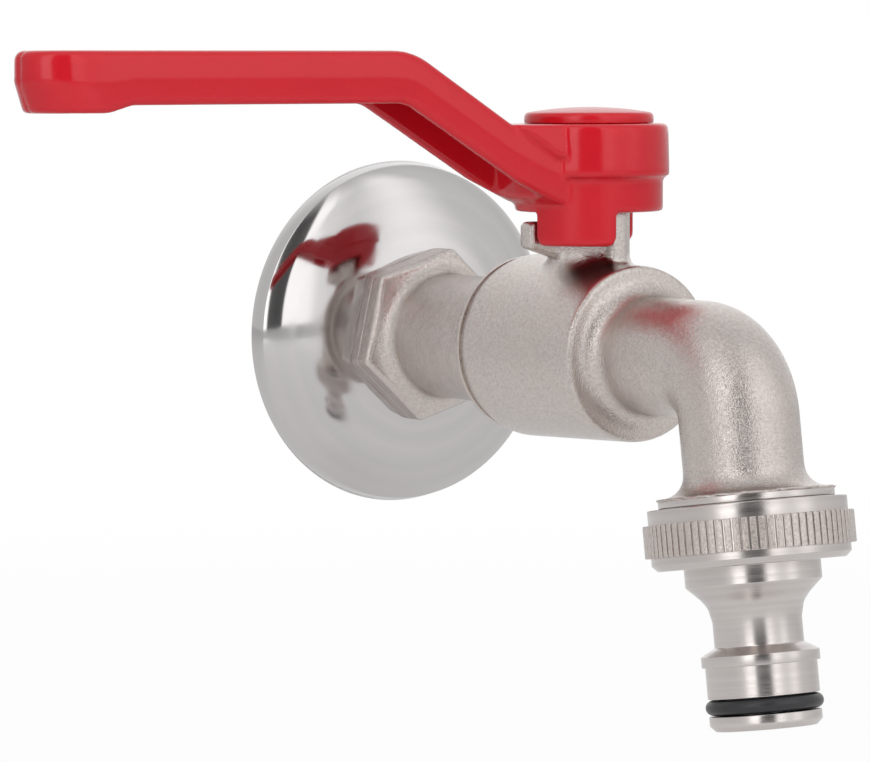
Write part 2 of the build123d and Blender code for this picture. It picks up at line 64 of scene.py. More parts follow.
def add_object(name, data):
    """A new object in the scene, at the origin."""
    thing = bpy.data.objects.new(name, data)
    bpy.context.scene.collection.objects.link(thing)
    return thing


view_back = direction(CAMERA_AZIMUTH, CAMERA_ELEVATION)
view_level = Vector((math.cos(CAMERA_AZIMUTH), math.sin(CAMERA_AZIMUTH), 0))
view_up = view_back.cross(view_level)
view_right = math.cos(CAMERA_ROLL) * view_level + math.sin(CAMERA_ROLL) * view_up
view_up = view_back.cross(view_right)

camera_data = bpy.data.cameras.new("camera")
camera_data.sensor_width = SENSOR
camera_data.lens = FOCAL_PIXELS / PHOTO_WIDTH * SENSOR
camera_data.shift_x = (PHOTO_WIDTH / 2 - CENTRE_X_PIXEL) / PHOTO_WIDTH
camera_data.shift_y = (CENTRE_Y_PIXEL - PHOTO_HEIGHT / 2) / PHOTO_WIDTH
camera_data.clip_start = 0.01
camera = add_object("camera", camera_data)
camera.matrix_world = Matrix.Translation(CAMERA_PLACE) @ Matrix(
    (view_right, view_up, view_back)
).transposed().to_4x4()
bpy.context.scene.camera = camera
bpy.context.scene.view_settings.view_transform = "Standard"


def add_node(tree, kind, sockets=(), **settings):
    """One node with its settings, and its sockets filled with values or linked from other nodes."""
    node = tree.nodes.new(kind)
    for key, value in settings.items():
        setattr(node, key, value)
    for key, value in dict(sockets).items():
        if isinstance(value, bpy.types.NodeSocket):
            tree.links.new(value, node.inputs[key])
        else:
            node.inputs[key].default_value = value
    return node


def maths(tree, operation, first, second=0.0, third=0.0):
    """The result of one sum."""
    node = add_node(tree, "ShaderNodeMath", {0: first, 1: second, 2: third}, operation=operation)
    return node.outputs[0]


def ranged(tree, value, source, target=(0.0, 1.0), curve="LINEAR"):
    """A value carried from one range to another, and held at its ends."""
    sockets = {"Value": value, "From Min": source[0], "From Max": source[1]}
    sockets.update({"To Min": target[0], "To Max": target[1]})
    return add_node(tree, "ShaderNodeMapRange", sockets, interpolation_type=curve).outputs["Result"]


def mixed(tree, share, first, second):
    """The colour that lies a share of the way from one to another."""
    sockets = {"Factor": share, 6: first, 7: second}
    return add_node(tree, "ShaderNodeMix", sockets, data_type="RGBA").outputs[2]


def grey(level):
    """A colour with nothing but brightness."""
    return (level, level, level, 1)


def seen_directly(tree, in_metal):
    """1 for rays from the camera or glass, less in metal, 0 for the rays that light the object."""
    path = add_node(tree, "ShaderNodeLightPath").outputs
    mirrored = maths(tree, "MULTIPLY", path["Is Glossy Ray"], in_metal)
    mirrored = maths(tree, "MAXIMUM", mirrored, path["Is Transmission Ray"])
    return maths(tree, "MAXIMUM", path["Is Camera Ray"], mirrored)


# what metal mirrors of the room: degrees right of the camera's direction, and how bright it is
BOX_STOPS = (
    (-180, 1.08), (-110, 0.7), (-60, 0.7), (-44, 0.85), (-33, 1.9), (-18.5, 1.9), (-15.5, 0.13),
    (0, 0.1), (15.5, 0.13), (18.5, 1.6), (30, 1.5), (37, 1.05), (48, 0.93), (64, 1.3), (84, 0.8),
    (120, 0.72), (180, 1.08),
)
BOX_LOW = -0.55
BOX_HIGH = 0.75
BOX_FADE = 0.25
ROOM_LEVEL = 0.7
WORLD_LIGHT = 0.27

world = bpy.data.worlds.new("studio")
bpy.context.scene.world = world
world.use_nodes = True
sky = world.node_tree
sky.nodes.clear()
way = add_node(sky, "ShaderNodeTexCoord").outputs["Generated"]
level_back = Vector((view_back.x, view_back.y, 0)).normalized()
across, towards = (
    add_node(sky, "ShaderNodeVectorMath", {0: way, 1: side}, operation="DOT_PRODUCT")
    for side in (view_level, level_back)
)
turn = maths(sky, "ARCTAN2", across.outputs["Value"], towards.outputs["Value"])
turn = maths(sky, "MULTIPLY_ADD", turn, 1 / math.tau, 0.5)
boxes = add_node(sky, "ShaderNodeValToRGB", {"Fac": turn})
boxes.color_ramp.interpolation = "EASE"
stops = boxes.color_ramp.elements
for number, (angle, level) in enumerate(BOX_STOPS):
    place = angle / 360 + 0.5
    stop = stops[number] if number < 2 else stops.new(place)
    stop.position = place
    stop.color = grey(level)
height = add_node(sky, "ShaderNodeSeparateXYZ", {0: way}).outputs["Z"]
low_end = ranged(sky, height, (BOX_LOW - BOX_FADE, BOX_LOW), curve="SMOOTHSTEP")
high_end = ranged(sky, height, (BOX_HIGH + BOX_FADE, BOX_HIGH), curve="SMOOTHSTEP")
inside = maths(sky, "MULTIPLY", low_end, high_end)
mirrored = mixed(sky, inside, grey(ROOM_LEVEL), boxes.outputs["Color"])
path = add_node(sky, "ShaderNodeLightPath").outputs
shown = mixed(sky, path["Is Glossy Ray"], grey(WORLD_LIGHT), mirrored)
bare = maths(sky, "MAXIMUM", path["Is Camera Ray"], path["Is Transmission Ray"])
sky_light = add_node(sky, "ShaderNodeBackground", {"Color": mixed(sky, bare, shown, grey(1))})
add_node(sky, "ShaderNodeOutputWorld", {"Surface": sky_light.outputs[0]})


def new_material(name):
    """An empty material and its tree."""
    material = bpy.data.materials.new(name)
    material.use_nodes = True
    material.node_tree.nodes.clear()
    return material, material.node_tree


FLOOR_HEIGHT = -88 * MM
FLOOR_HALF = 20.0
FLOOR_COLOUR = 0.8
FLOOR_SHADE = 0.05
FLOOR_IN_METAL = 0.42
SHADE_REACH = 0.22
SHADE_END = 0.6
floor_paint, paint = new_material("pale_floor")
matt = add_node(paint, "ShaderNodeBsdfDiffuse", {"Color": grey(FLOOR_COLOUR)})
lit = add_node(paint, "ShaderNodeEmission", {"Color": grey(1), "Strength": 1.0})
place = add_node(paint, "ShaderNodeTexCoord").outputs["Object"]
spread = add_node(paint, "ShaderNodeVectorMath", {0: place}, operation="LENGTH").outputs["Value"]
near = ranged(paint, spread, (SHADE_REACH, SHADE_END), (1 - FLOOR_SHADE, 1.0), "SMOOTHSTEP")
share = maths(paint, "MULTIPLY", seen_directly(paint, FLOOR_IN_METAL), near)
blend = add_node(paint, "ShaderNodeMixShader", {0: share, 1: matt.outputs[0], 2: lit.outputs[0]})
add_node(paint, "ShaderNodeOutputMaterial", {"Surface": blend.outputs[0]})
floor_mesh = bpy.data.meshes.new("floor")
corners = [(FLOOR_HALF * x, FLOOR_HALF * y, 0) for x, y in ((-1, -1), (1, -1), (1, 1), (-1, 1))]
floor_mesh.from_pydata(corners, [], [(0, 1, 2, 3)])
floor_mesh.materials.append(floor_paint)
floor = add_object("floor", floor_mesh)
floor.location.z = FLOOR_HEIGHT

# each lamp's azimuth, elevation, distance, width, height and power, about the tap's middle
TAP_MIDDLE = Vector((0, -60, 5)) * MM
LAMPS = (
    ("left_box", -62, 14, 1.1, 0.5, 0.9, 4.0),
    ("right_box", 8, 14, 1.1, 0.6, 0.9, 4.6),
    ("top_box", -30, 72, 1.0, 0.9, 0.9, 3.9),
    ("back_fill", 160, 25, 1.4, 1.0, 1.0, 3.2),
)
for name, azimuth, elevation, distance, width, tall, power in LAMPS:
    lamp = bpy.data.lights.new(name, "AREA")
    lamp.shape = "RECTANGLE"
    lamp.size = width
    lamp.size_y = tall
    lamp.energy = power
    aim = direction(math.radians(azimuth), math.radians(elevation))
    light = add_object(name, lamp)
    light.location = TAP_MIDDLE + aim * distance
    light.rotation_euler = aim.to_track_quat("Z", "Y").to_euler()
    light.visible_glossy = False


# Wall rose: a cup pressed from stainless steel sheet and polished to a mirror. It is held between
# the wall and the hexagon, with a hole for the thread. The polishing wheel leaves fine rings.
def finish_material(tree, colour, roughness, height, strength, depth_mm, **constants):
    """The surface shader with its bump, joined to the output."""
    relief = {"Height": height, "Strength": strength, "Distance": depth_mm * MM}
    normal = add_node(tree, "ShaderNodeBump", relief).outputs["Normal"]
    sockets = {"Base Color": colour, "Roughness": roughness, "Normal": normal, **constants}
    surface = add_node(tree, "ShaderNodeBsdfPrincipled", sockets)
    add_node(tree, "ShaderNodeOutputMaterial", {"Surface": surface.outputs[0]})


def object_place(tree, origin=(0, 0, 0), tilt=0.0):
    """Object coordinates in millimetres, measured from a point and tilted about the x axis."""
    sockets = {
        "Vector": add_node(tree, "ShaderNodeTexCoord").outputs["Object"],
        "Location": [value * MM for value in origin],
        "Rotation": (tilt, 0, 0),
        "Scale": (1, 1, 1),
    }
    moved = add_node(tree, "ShaderNodeMapping", sockets, vector_type="TEXTURE").outputs[0]
    scale = {0: moved, "Scale": 1 / MM}
    return add_node(tree, "ShaderNodeVectorMath", scale, operation="SCALE").outputs[0]


def noise(tree, place, scale, detail, roughness=0.5, dimensions="3D"):
    """Soft spots from 0 to 1, so many to the millimetre of a place or of a distance."""
    where = "W" if dimensions == "1D" else "Vector"
    sockets = {where: place, "Scale": scale, "Detail": detail, "Roughness": roughness}
    spots = add_node(tree, "ShaderNodeTexNoise", sockets, noise_dimensions=dimensions)
    return spots.outputs["Fac"]


def new_group(name, kind, inputs, outputs):
    """A node group with named sockets: its tree, its inputs and the sockets of its output."""
    group = bpy.data.node_groups.new(name, kind)
    for way, sockets in (("INPUT", inputs), ("OUTPUT", outputs)):
        for label, value in sockets.items():
            group.interface.new_socket(label, in_out=way, socket_type="NodeSocket" + value)
    given = group.nodes.new("NodeGroupInput").outputs
    return group, given, group.nodes.new("NodeGroupOutput").inputs


# fine rings that a cutting tool or a polishing wheel leaves round an axis; the axis is local Z
turning_rings, given, result = new_group(
    "turning_rings",
    "ShaderNodeTree",
    {"Place": "Vector", "Rings per mm": "Float", "Rings across": "Float", "Waver": "Float"},
    {"Height": "Float", "Shade": "Float"},
)
spot = add_node(turning_rings, "ShaderNodeSeparateXYZ", {0: given["Place"]}).outputs
squares = [maths(turning_rings, "MULTIPLY", spot[axis], spot[axis]) for axis in "XY"]
radius = maths(turning_rings, "SQRT", maths(turning_rings, "ADD", *squares))
outwards = maths(turning_rings, "MULTIPLY", radius, given["Rings across"])
uneven = noise(turning_rings, given["Place"], 0.35, 2.0)
waver = maths(turning_rings, "MULTIPLY", uneven, given["Waver"])
track = maths(turning_rings, "ADD", maths(turning_rings, "ADD", spot["Z"], outwards), waver)
track = maths(turning_rings, "MULTIPLY", track, given["Rings per mm"])
turning_rings.links.new(noise(turning_rings, track, 1.0, 3.0, 0.7, "1D"), result["Height"])
turning_rings.links.new(noise(turning_rings, track, 0.12, 2.0, 0.5, "1D"), result["Shade"])


def use_group(tree, group, sockets):
    """The outputs of a group placed in a material."""
    return add_node(tree, "ShaderNodeGroup", sockets, node_tree=group).outputs


STEEL_DARK = (0.585, 0.567, 0.567, 1)
STEEL_LIGHT = (0.645, 0.625, 0.62, 1)


def polished_steel():
    """Mirror polished stainless steel, with faint wheel marks round the rose's axis."""
    material, tree = new_material("polished_steel")
    place = object_place(tree, tilt=math.radians(90))
    marks = {"Place": place, "Rings per mm": 5.0, "Rings across": 1.0, "Waver": 0.8}
    rings = use_group(tree, turning_rings, marks)
    smears = maths(tree, "MULTIPLY", noise(tree, place, 0.12, 4.0), rings["Shade"])
    gloss = ranged(tree, smears, (0.1, 0.45), (0.06, 0.13))
    colour = mixed(tree, rings["Shade"], STEEL_DARK, STEEL_LIGHT)
    finish_material(
        tree, colour, gloss, rings["Height"], strength=0.02, depth_mm=0.1, Metallic=1.0
    )
    return material


def arc_points(start, middle, end, count):
    """Points on the circle through three points, from start to end, with both ends."""
    ax, ay = start
    bx, by = middle
    cx, cy = end
    scale = 2 * (ax * (by - cy) + bx * (cy - ay) + cx * (ay - by))
    a2 = ax * ax + ay * ay
    b2 = bx * bx + by * by
    c2 = cx * cx + cy * cy
    ux = (a2 * (by - cy) + b2 * (cy - ay) + c2 * (ay - by)) / scale
    uy = (a2 * (cx - bx) + b2 * (ax - cx) + c2 * (bx - ax)) / scale
    radius = math.hypot(ax - ux, ay - uy)
    first = math.atan2(ay - uy, ax - ux)
    sweep = math.remainder(math.atan2(cy - uy, cx - ux) - first, math.tau)
    past = math.remainder(math.atan2(by - uy, bx - ux) - first, math.tau)
    if sweep * past < 0:
        sweep -= math.copysign(math.tau, sweep)
    steps = [first + sweep * number / (count - 1) for number in range(count)]
    return [(ux + radius * math.cos(step), uy + radius * math.sin(step)) for step in steps]


NEARLY_STRAIGHT = math.radians(165)
SHARE_OF_RUN = 0.45
MERGED_WITHIN = 1e-7


def rounded_outline(corners, break_radius, steps=4):
    """A closed outline with each corner turned into an arc, no larger than its two runs allow."""
    points = []
    for number, corner in enumerate(corners):
        here = Vector(corner[:2])
        before = Vector(corners[number - 1][:2]) - here
        after = Vector(corners[(number + 1) % len(corners)][:2]) - here
        bend = before.angle(after, math.pi)
        radius = corner[2] if len(corner) > 2 else break_radius
        if bend > NEARLY_STRAIGHT or radius == 0:
            points.append(tuple(here))
            continue
        reach = radius / math.tan(bend / 2)
        room = SHARE_OF_RUN * min(before.length, after.length)
        if reach > room:
            radius *= room / reach
            reach = room
        first = here + before.normalized() * reach
        last = here + after.normalized() * reach
        inwards = (before.normalized() + after.normalized()).normalized()
        middle = here + inwards * (radius / math.sin(bend / 2) - radius)
        points += arc_points(tuple(first), tuple(middle), tuple(last), steps + 1)
    return points


def joined(name, meshes, merged=False):
    """One mesh of several closed forms, with their faces outwards and, if asked, doubles merged."""
    shape = bmesh.new()
    for mesh in meshes:
        shape.from_mesh(mesh)
        bpy.data.meshes.remove(mesh)
    if merged:
        bmesh.ops.remove_doubles(shape, verts=shape.verts, dist=MERGED_WITHIN)
        bmesh.ops.dissolve_degenerate(shape, edges=shape.edges, dist=MERGED_WITHIN)
    bmesh.ops.recalc_face_normals(shape, faces=shape.faces)
    whole = bpy.data.meshes.new(name)
    shape.to_mesh(whole)
    shape.free()
    return whole


def lofted(name, rings, wrapped=False, merged=False):
    """A closed mesh through rings of points in millimetres, capped at its ends or wrapped round."""
    count = len(rings[0])
    total = len(rings)
    faces = []
    for layer in range(total if wrapped else total - 1):
        here = layer * count
        there = (layer + 1) % total * count
        for number in range(count):
            beside = (number + 1) % count
            faces.append((here + number, here + beside, there + beside, there + number))
    if not wrapped:
        faces += [tuple(range(count)), tuple(range((total - 1) * count, total * count))]
    mesh = bpy.data.meshes.new(name)
    mesh.from_pydata([Vector(point) * MM for ring in rings for point in ring], [], faces)
    return joined(name, [mesh], merged)


def turned_mesh(name, outline, segments, origin=(0, 0, 0), axis=(0, 0, 1)):
    """A mesh turned round an axis, from an outline of (radius, distance along it) in mm."""
    along = Vector(axis).normalized()
    side = along.orthogonal().normalized()
    other = along.cross(side)
    rings = []
    for step in range(segments):
        angle = math.tau * step / segments
        out = math.cos(angle) * side + math.sin(angle) * other
        rings.append([Vector(origin) + out * radius + along * far for radius, far in outline])
    return lofted(name, rings, wrapped=True, merged=True)


def place_piece(mesh, material, body, slot, *stands_for):
    """The finished piece: smooth shaded, with its material and its body. Its slot is not used."""
    mesh.materials.clear()
    mesh.materials.append(material)
    mesh.shade_smooth()
    piece = add_object(mesh.name, mesh)
    weigh = piece.modifiers.new("flat_faces_lead", "WEIGHTED_NORMAL")
    weigh.keep_sharp = True
    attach(piece, body)
    if stands_for:
        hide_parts(*stands_for)


ROSE_RIM = (28.2, 0.0)
ROSE_CREASE = (27.6, 2.4)
ROSE_SHOULDER = (25.4, 4.0)
ROSE_SHOULDER_RISE = 0.1
ROSE_DOME_RISE = 0.55
ROSE_SEAT = (12.8, 7.0)
ROSE_HOLE = 10.78
ROSE_SHEET = 0.8
WALL_AXIS = (0, -1, 0)


def risen(start, end, rise, count):
    """A run of the rose's outline that bulges outwards by its rise."""
    run = Vector(end) - Vector(start)
    middle = (Vector(start) + Vector(end)) / 2 + rise * Vector((run.y, -run.x)).normalized()
    return arc_points(start, tuple(middle), end, count)


rose_outside = (
    [ROSE_RIM]
    + risen(ROSE_CREASE, ROSE_SHOULDER, ROSE_SHOULDER_RISE, 12)
    + risen(ROSE_SHOULDER, ROSE_SEAT, ROSE_DOME_RISE, 24)[1:]
    + [(ROSE_HOLE, ROSE_SEAT[1])]
)
rose_inside = []
for number, (radius, distance) in enumerate(rose_outside):
    before = Vector(rose_outside[max(number - 1, 0)])
    after = Vector(rose_outside[min(number + 1, len(rose_outside) - 1)])
    run = (after - before).normalized()
    rose_inside.append((radius - ROSE_SHEET * run.y, max(distance + ROSE_SHEET * run.x, 0.0)))
rose_inside[-1] = (ROSE_HOLE, ROSE_SEAT[1] - ROSE_SHEET)
rose_mesh = turned_mesh("wall_rose_polished", rose_outside + rose_inside[::-1], 320, axis=WALL_AXIS)
place_piece(rose_mesh, polished_steel(), "tap_body", "polished_steel", "wall_rose")


# Inlet connector: turned from hexagon bar, blasted and nickel plated. Its hexagon clamps the rose,
# and the half-inch thread behind the rose goes into the wall.
HEXAGON_HALF = 12.5
HEXAGON_TURN = math.radians(17.1)
HEXAGON_CORNER = 1.1
CORNER_STEPS = 8
FLAT_STEPS = 16
HEXAGON_BACK = 7.0
HEXAGON_FRONT = 12.2
HEXAGON_BREAK = 0.9
HEXAGON_BACK_BREAK = 0.25
HEXAGON_CORE = 9.0
HEXAGON_LINE = 9.1
HEXAGON_LINE_DEPTH = 0.6
INLET_BORE = 6.5
INLET_SPIGOT = 12.0
INLET_END = 48.0
SEAT_POCKET = (9.3, 44.5)
THREAD_END = -9.0
THREAD_START = 4.9
THREAD_ROOT = 9.33
THREAD_UNDERCUT = 0.05
THREAD_CREST = 10.45
THREAD_PITCH = 1.814
THREAD_LEAD = 1.2
THREAD_WALL = 0.25
THREAD_WELD = 0.001
THREAD_STEPS = 520
FLANK_STEPS = 9
FLANK_SLOPE = 2.6
FLANK_TOP = 1.15
NECK = 10.05
NECK_ROOT = 3.0
FLANGE = 13.9
FLANGE_BACK = 38.5
SEAM = 39.4

# fine grain that blasting leaves under the plating, with slow unevenness of the casting below it
blasted_grain, given, result = new_group(
    "blasted_grain",
    "ShaderNodeTree",
    {"Place": "Vector", "Grain mm": "Float", "Unevenness": "Float"},
    {"Height": "Float", "Shade": "Float", "Stain": "Float"},
)
grain_scale = maths(blasted_grain, "DIVIDE", 1.0, given["Grain mm"])
half_scale = maths(blasted_grain, "MULTIPLY", grain_scale, 0.5)
pits = noise(blasted_grain, given["Place"], grain_scale, 2.0, 0.6)
specks = noise(blasted_grain, given["Place"], half_scale, 3.0, 0.75)
swells = noise(blasted_grain, given["Place"], 0.16, 2.0)
stains = noise(blasted_grain, given["Place"], 0.09, 4.0, 0.6)
lift = maths(blasted_grain, "MULTIPLY", swells, given["Unevenness"])
blasted_grain.links.new(maths(blasted_grain, "ADD", pits, lift), result["Height"])
blasted_grain.links.new(specks, result["Shade"])
blasted_grain.links.new(stains, result["Stain"])


NICKEL_DARK = (0.42, 0.37, 0.345, 1)
NICKEL_LIGHT = (0.84, 0.775, 0.74, 1)
NICKEL_STAIN = (0.66, 0.575, 0.515, 1)


def blasted_nickel():
    """Blasted brass with a matt, warm nickel plating that sparkles where light grazes it."""
    material, tree = new_material("blasted_nickel")
    marks = {"Place": object_place(tree), "Grain mm": 0.24, "Unevenness": 2.0}
    grain = use_group(tree, blasted_grain, marks)
    speckled = mixed(tree, grain["Shade"], NICKEL_DARK, NICKEL_LIGHT)
    tarnish = ranged(tree, grain["Stain"], (0.45, 0.75), (0.0, 0.4))
    colour = mixed(tree, tarnish, speckled, NICKEL_STAIN)
    gloss = ranged(tree, grain["Shade"], (0.3, 0.7), (0.24, 0.15))
    finish_material(
        tree, colour, gloss, grain["Height"], strength=0.6, depth_mm=0.15, Metallic=1.0
    )
    return material


nickel = blasted_nickel()
inlet_outline = rounded_outline(
    [
        (INLET_BORE, THREAD_END, 0.2),
        (THREAD_ROOT - THREAD_UNDERCUT, THREAD_END, 0.1),
        (THREAD_ROOT - THREAD_UNDERCUT, THREAD_START, 0),
        (THREAD_ROOT, THREAD_START, 0),
        (THREAD_ROOT, HEXAGON_BACK + 1, 0),
        (NECK, HEXAGON_BACK + 1, 0),
        (NECK, FLANGE_BACK, 1.2),
        (FLANGE, FLANGE_BACK, 0.25),
        (FLANGE, SEAM, 0.1),
        (INLET_SPIGOT, SEAM, 0),
        (INLET_SPIGOT, INLET_END, 0.4),
        (SEAT_POCKET[0], INLET_END, 0.2),
        (SEAT_POCKET[0], SEAT_POCKET[1], 0),
        (INLET_BORE, SEAT_POCKET[1], 0.2),
    ],
    0.1,
    steps=8,
)
inlet_mesh = turned_mesh("inlet_turned", inlet_outline, 256, axis=WALL_AXIS)


def quarter(steps):
    """The pairs (1 - sine, 1 - cosine) of a quarter turn, from (1, 0) to (0, 1)."""
    bends = [math.pi / 2 * step / steps for step in range(steps + 1)]
    return [(1 - math.sin(bend), 1 - math.cos(bend)) for bend in bends]


def hexagon_ring(inset):
    """The hexagon's outline with rounded corners, moved inwards, as (x, z) in millimetres."""
    reach = (HEXAGON_HALF - inset) / math.cos(math.pi / 6)
    turns = [HEXAGON_TURN + math.pi / 3 * number for number in range(6)]
    corners = [(reach * math.cos(turn), reach * math.sin(turn)) for turn in turns]
    outline = rounded_outline(corners, HEXAGON_CORNER, CORNER_STEPS)
    ring = []
    for number, point in enumerate(outline):
        following = Vector(outline[(number + 1) % len(outline)])
        pieces = FLAT_STEPS if number % (CORNER_STEPS + 1) == CORNER_STEPS else 1
        ring += [tuple(Vector(point).lerp(following, piece / pieces)) for piece in range(pieces)]
    return ring


def root_front(x, z):
    """How far out the hexagon's front lies at a place, where the neck's root flares into it."""
    past = max(NECK + NECK_ROOT - math.hypot(x, z), 0)
    return HEXAGON_FRONT + NECK_ROOT - math.sqrt(max(NECK_ROOT ** 2 - past ** 2, 0))


# the hexagon's rings: back edge, line round the middle, front edge, root into the neck, and core
rings = []
for rise, inset in reversed(quarter(4)):
    distance = HEXAGON_BACK + HEXAGON_BACK_BREAK * rise
    rings.append([(x, -distance, z) for x, z in hexagon_ring(HEXAGON_BACK_BREAK * inset)])
for past, depth in ((-0.11, 0), (-0.05, 0), (-0.04, 1), (0.04, 1), (0.05, 0), (0.11, 0)):
    line = hexagon_ring(HEXAGON_LINE_DEPTH * depth)
    rings.append([(x, -HEXAGON_LINE - past, z) for x, z in line])
for rise, inset in quarter(6):
    edge = hexagon_ring(HEXAGON_BREAK * inset)
    rings.append([(x, HEXAGON_BREAK * rise - root_front(x, z), z) for x, z in edge])
front_edge = hexagon_ring(HEXAGON_BREAK)
for step in range(13):
    ring = []
    for x, z in front_edge:
        reach = math.hypot(x, z)
        first = math.asin(max(1 - (reach - NECK) / NECK_ROOT, 0))
        bend = first + (math.pi / 2 - first) * step / 12
        radius = NECK + NECK_ROOT * (1 - math.sin(bend))
        if step == 0:
            radius = min(radius, reach - 0.05)
        distance = HEXAGON_FRONT + NECK_ROOT * (1 - math.cos(bend))
        ring.append((x * radius / reach, -distance, z * radius / reach))
    rings.append(ring)
root_end = HEXAGON_FRONT + NECK_ROOT + 0.6
for radius, distance in (
    (NECK - 0.02, root_end), (HEXAGON_CORE, root_end), (HEXAGON_CORE, HEXAGON_BACK)
):
    shares = [radius / math.hypot(x, z) for x, z in front_edge]
    rings.append([(x * share, -distance, z * share) for (x, z), share in zip(front_edge, shares)])
hexagon_mesh = lofted("inlet_hexagon", rings, wrapped=True)


def chained(tree, shape, steps):
    """A shape after a chain of geometry nodes, each given as its kind and its other sockets."""
    for kind, sockets in steps:
        shape = add_node(tree, "GeometryNode" + kind, {0: shape, **sockets}).outputs[0]
    return shape


# the half-inch pipe thread: one strip wound round the inlet, its crest and roots from one formula
thread_tree, given, result = new_group(
    "pipe_thread",
    "GeometryNodeTree",
    {
        **dict.fromkeys(("Turns", "Pitch", "Root", "Crest", "Start", "End", "Lead"), "Float"),
        "Finish": "Material",
    },
    {"Thread": "Geometry"},
)
strip = add_node(
    thread_tree,
    "GeometryNodeMeshGrid",
    {"Size X": 1.0, "Size Y": 1.0, "Vertices X": THREAD_STEPS, "Vertices Y": FLANK_STEPS},
)
spot = add_node(thread_tree, "GeometryNodeInputPosition").outputs[0]
spot = add_node(thread_tree, "ShaderNodeSeparateXYZ", {0: spot}).outputs
wound = maths(thread_tree, "MULTIPLY", maths(thread_tree, "ADD", spot["X"], 0.5), given["Turns"])
angle = maths(thread_tree, "MULTIPLY", wound, math.tau)
flank = maths(thread_tree, "ABSOLUTE", spot["Y"])
flank = maths(thread_tree, "MULTIPLY_ADD", flank, -FLANK_SLOPE, FLANK_TOP)
flank = maths(thread_tree, "MINIMUM", maths(thread_tree, "MAXIMUM", flank, 0.0), 1.0)
depth = maths(thread_tree, "SUBTRACT", given["Crest"], given["Root"])
radius = maths(thread_tree, "MULTIPLY_ADD", flank, depth, given["Root"])
along = maths(thread_tree, "MULTIPLY", maths(thread_tree, "ADD", wound, spot["Y"]), given["Pitch"])
along = maths(thread_tree, "SUBTRACT", given["Start"], along)
along = maths(thread_tree, "MAXIMUM", along, given["End"])
taper = maths(thread_tree, "SUBTRACT", along, given["End"])
lead_in = maths(thread_tree, "SUBTRACT", given["Crest"], given["Lead"])
radius = maths(thread_tree, "MINIMUM", radius, maths(thread_tree, "ADD", taper, lead_in))
around = add_node(
    thread_tree,
    "ShaderNodeCombineXYZ",
    {
        "X": maths(thread_tree, "MULTIPLY", maths(thread_tree, "COSINE", angle), radius),
        "Y": maths(thread_tree, "MULTIPLY", along, -1.0),
        "Z": maths(thread_tree, "MULTIPLY", maths(thread_tree, "SINE", angle), radius),
    },
)
wound_strip = chained(
    thread_tree,
    strip.outputs[0],
    (
        ("SetPosition", {"Position": around.outputs[0]}),
        ("MergeByDistance", {"Distance": THREAD_WELD * MM}),
        ("FlipFaces", {}),
        ("RealizeInstances", {}),
        ("SetMaterial", {"Material": given["Finish"]}),
    ),
)
thread_tree.links.new(wound_strip, result[0])


def applied(holder):
    """The plain mesh that an object's modifiers leave. The object itself is removed."""
    bpy.context.view_layer.update()
    done = bpy.data.meshes.new_from_object(
        holder.evaluated_get(bpy.context.evaluated_depsgraph_get())
    )
    source = holder.data
    name = source.name
    holder.modifiers.clear()
    bpy.data.objects.remove(holder)
    bpy.data.meshes.remove(source)
    done.name = name
    return done


def grown(tree, name, values):
    """The plain mesh that a Geometry Nodes tree makes from the values of its named inputs."""
    holder = add_object(name, bpy.data.meshes.new(name))
    grow = holder.modifiers.new("grow", "NODES")
    grow.node_group = tree
    for item in tree.interface.items_tree:
        if item.in_out == "INPUT":
            grow[item.identifier] = values[item.name]
    return applied(holder)


def worked(mesh, steps):
    """The plain mesh that a stack of modifiers leaves, each given as its kind and its settings."""
    holder = add_object(mesh.name, mesh)
    for kind, settings in steps:
        step = holder.modifiers.new(kind.lower(), kind)
        for key, value in settings.items():
            setattr(step, key, value)
    return applied(holder)


thread_mesh = grown(
    thread_tree,
    "inlet_thread",
    {
        "Turns": (THREAD_START - THREAD_END) / THREAD_PITCH,
        "Pitch": THREAD_PITCH * MM,
        "Root": THREAD_ROOT * MM,
        "Crest": THREAD_CREST * MM,
        "Start": THREAD_START * MM,
        "End": THREAD_END * MM,
        "Lead": THREAD_LEAD * MM,
        "Finish": nickel,
    },
)
thread_mesh = worked(
    thread_mesh, [("SOLIDIFY", {"thickness": THREAD_WALL * MM, "offset": -1.0, "use_rim": True})]
)
inlet_mesh = joined("inlet_connector_turned", (inlet_mesh, hexagon_mesh))
place_piece(inlet_mesh, nickel, "tap_body", "blasted_nickel", "inlet_connector")
place_piece(thread_mesh, nickel, "tap_body", "blasted_nickel")


# Valve body: one brass casting, blasted and nickel plated. Its chamber holds the ball, its spout
# bends down to a flared lip, and its stem housing carries the lever's stop and a rib.
STEM_Y = -55.0
STEM_FOOT = (0, STEM_Y, 0)
CHAMBER = 13.75
CHAMBER_RIM = 13.6
CHAMBER_WIDEST = (14.35, 41.4)
CHAMBER_FRONT = 68.6
CHAMBER_FRONT_RADIUS = 13.4
BODY_THREAD = (12.05, 49.6)
BALL_ROOM = (10.2, 60.4)
SEAT_ROOM = (9.35, 65.6)
OVERLAP = 0.3
SPOUT = 8.9
SPOUT_ROOT = 3.2
WATER_WAY = 6.0
BEND_START = 84.22
BEND_RADIUS = 9.2
BEND_MIDDLE = Vector((0, -BEND_START, -BEND_RADIUS))
BEND_END = 7.885
OUTLET_TILT = math.radians(8.8)
OUTLET_FOOT = (0, -92.1, 0)
OUTLET_AXIS = (0, -math.sin(OUTLET_TILT), -math.cos(OUTLET_TILT))
LIP_START = 15.6
LIP_FLARE = 3.35
LIP = 13.3
LIP_END = 19.2
OUTLET_THREAD = 13.0
OUTLET_RELIEF = 12.6
RELIEF_START = 19.5
RELIEF_END = 21.2
OUTLET_THREAD_START = 21.6
OUTLET_END = 26.0
HOUSING = 6.3
HOUSING_LOW = 12.9
HOUSING_TOP = 23.4
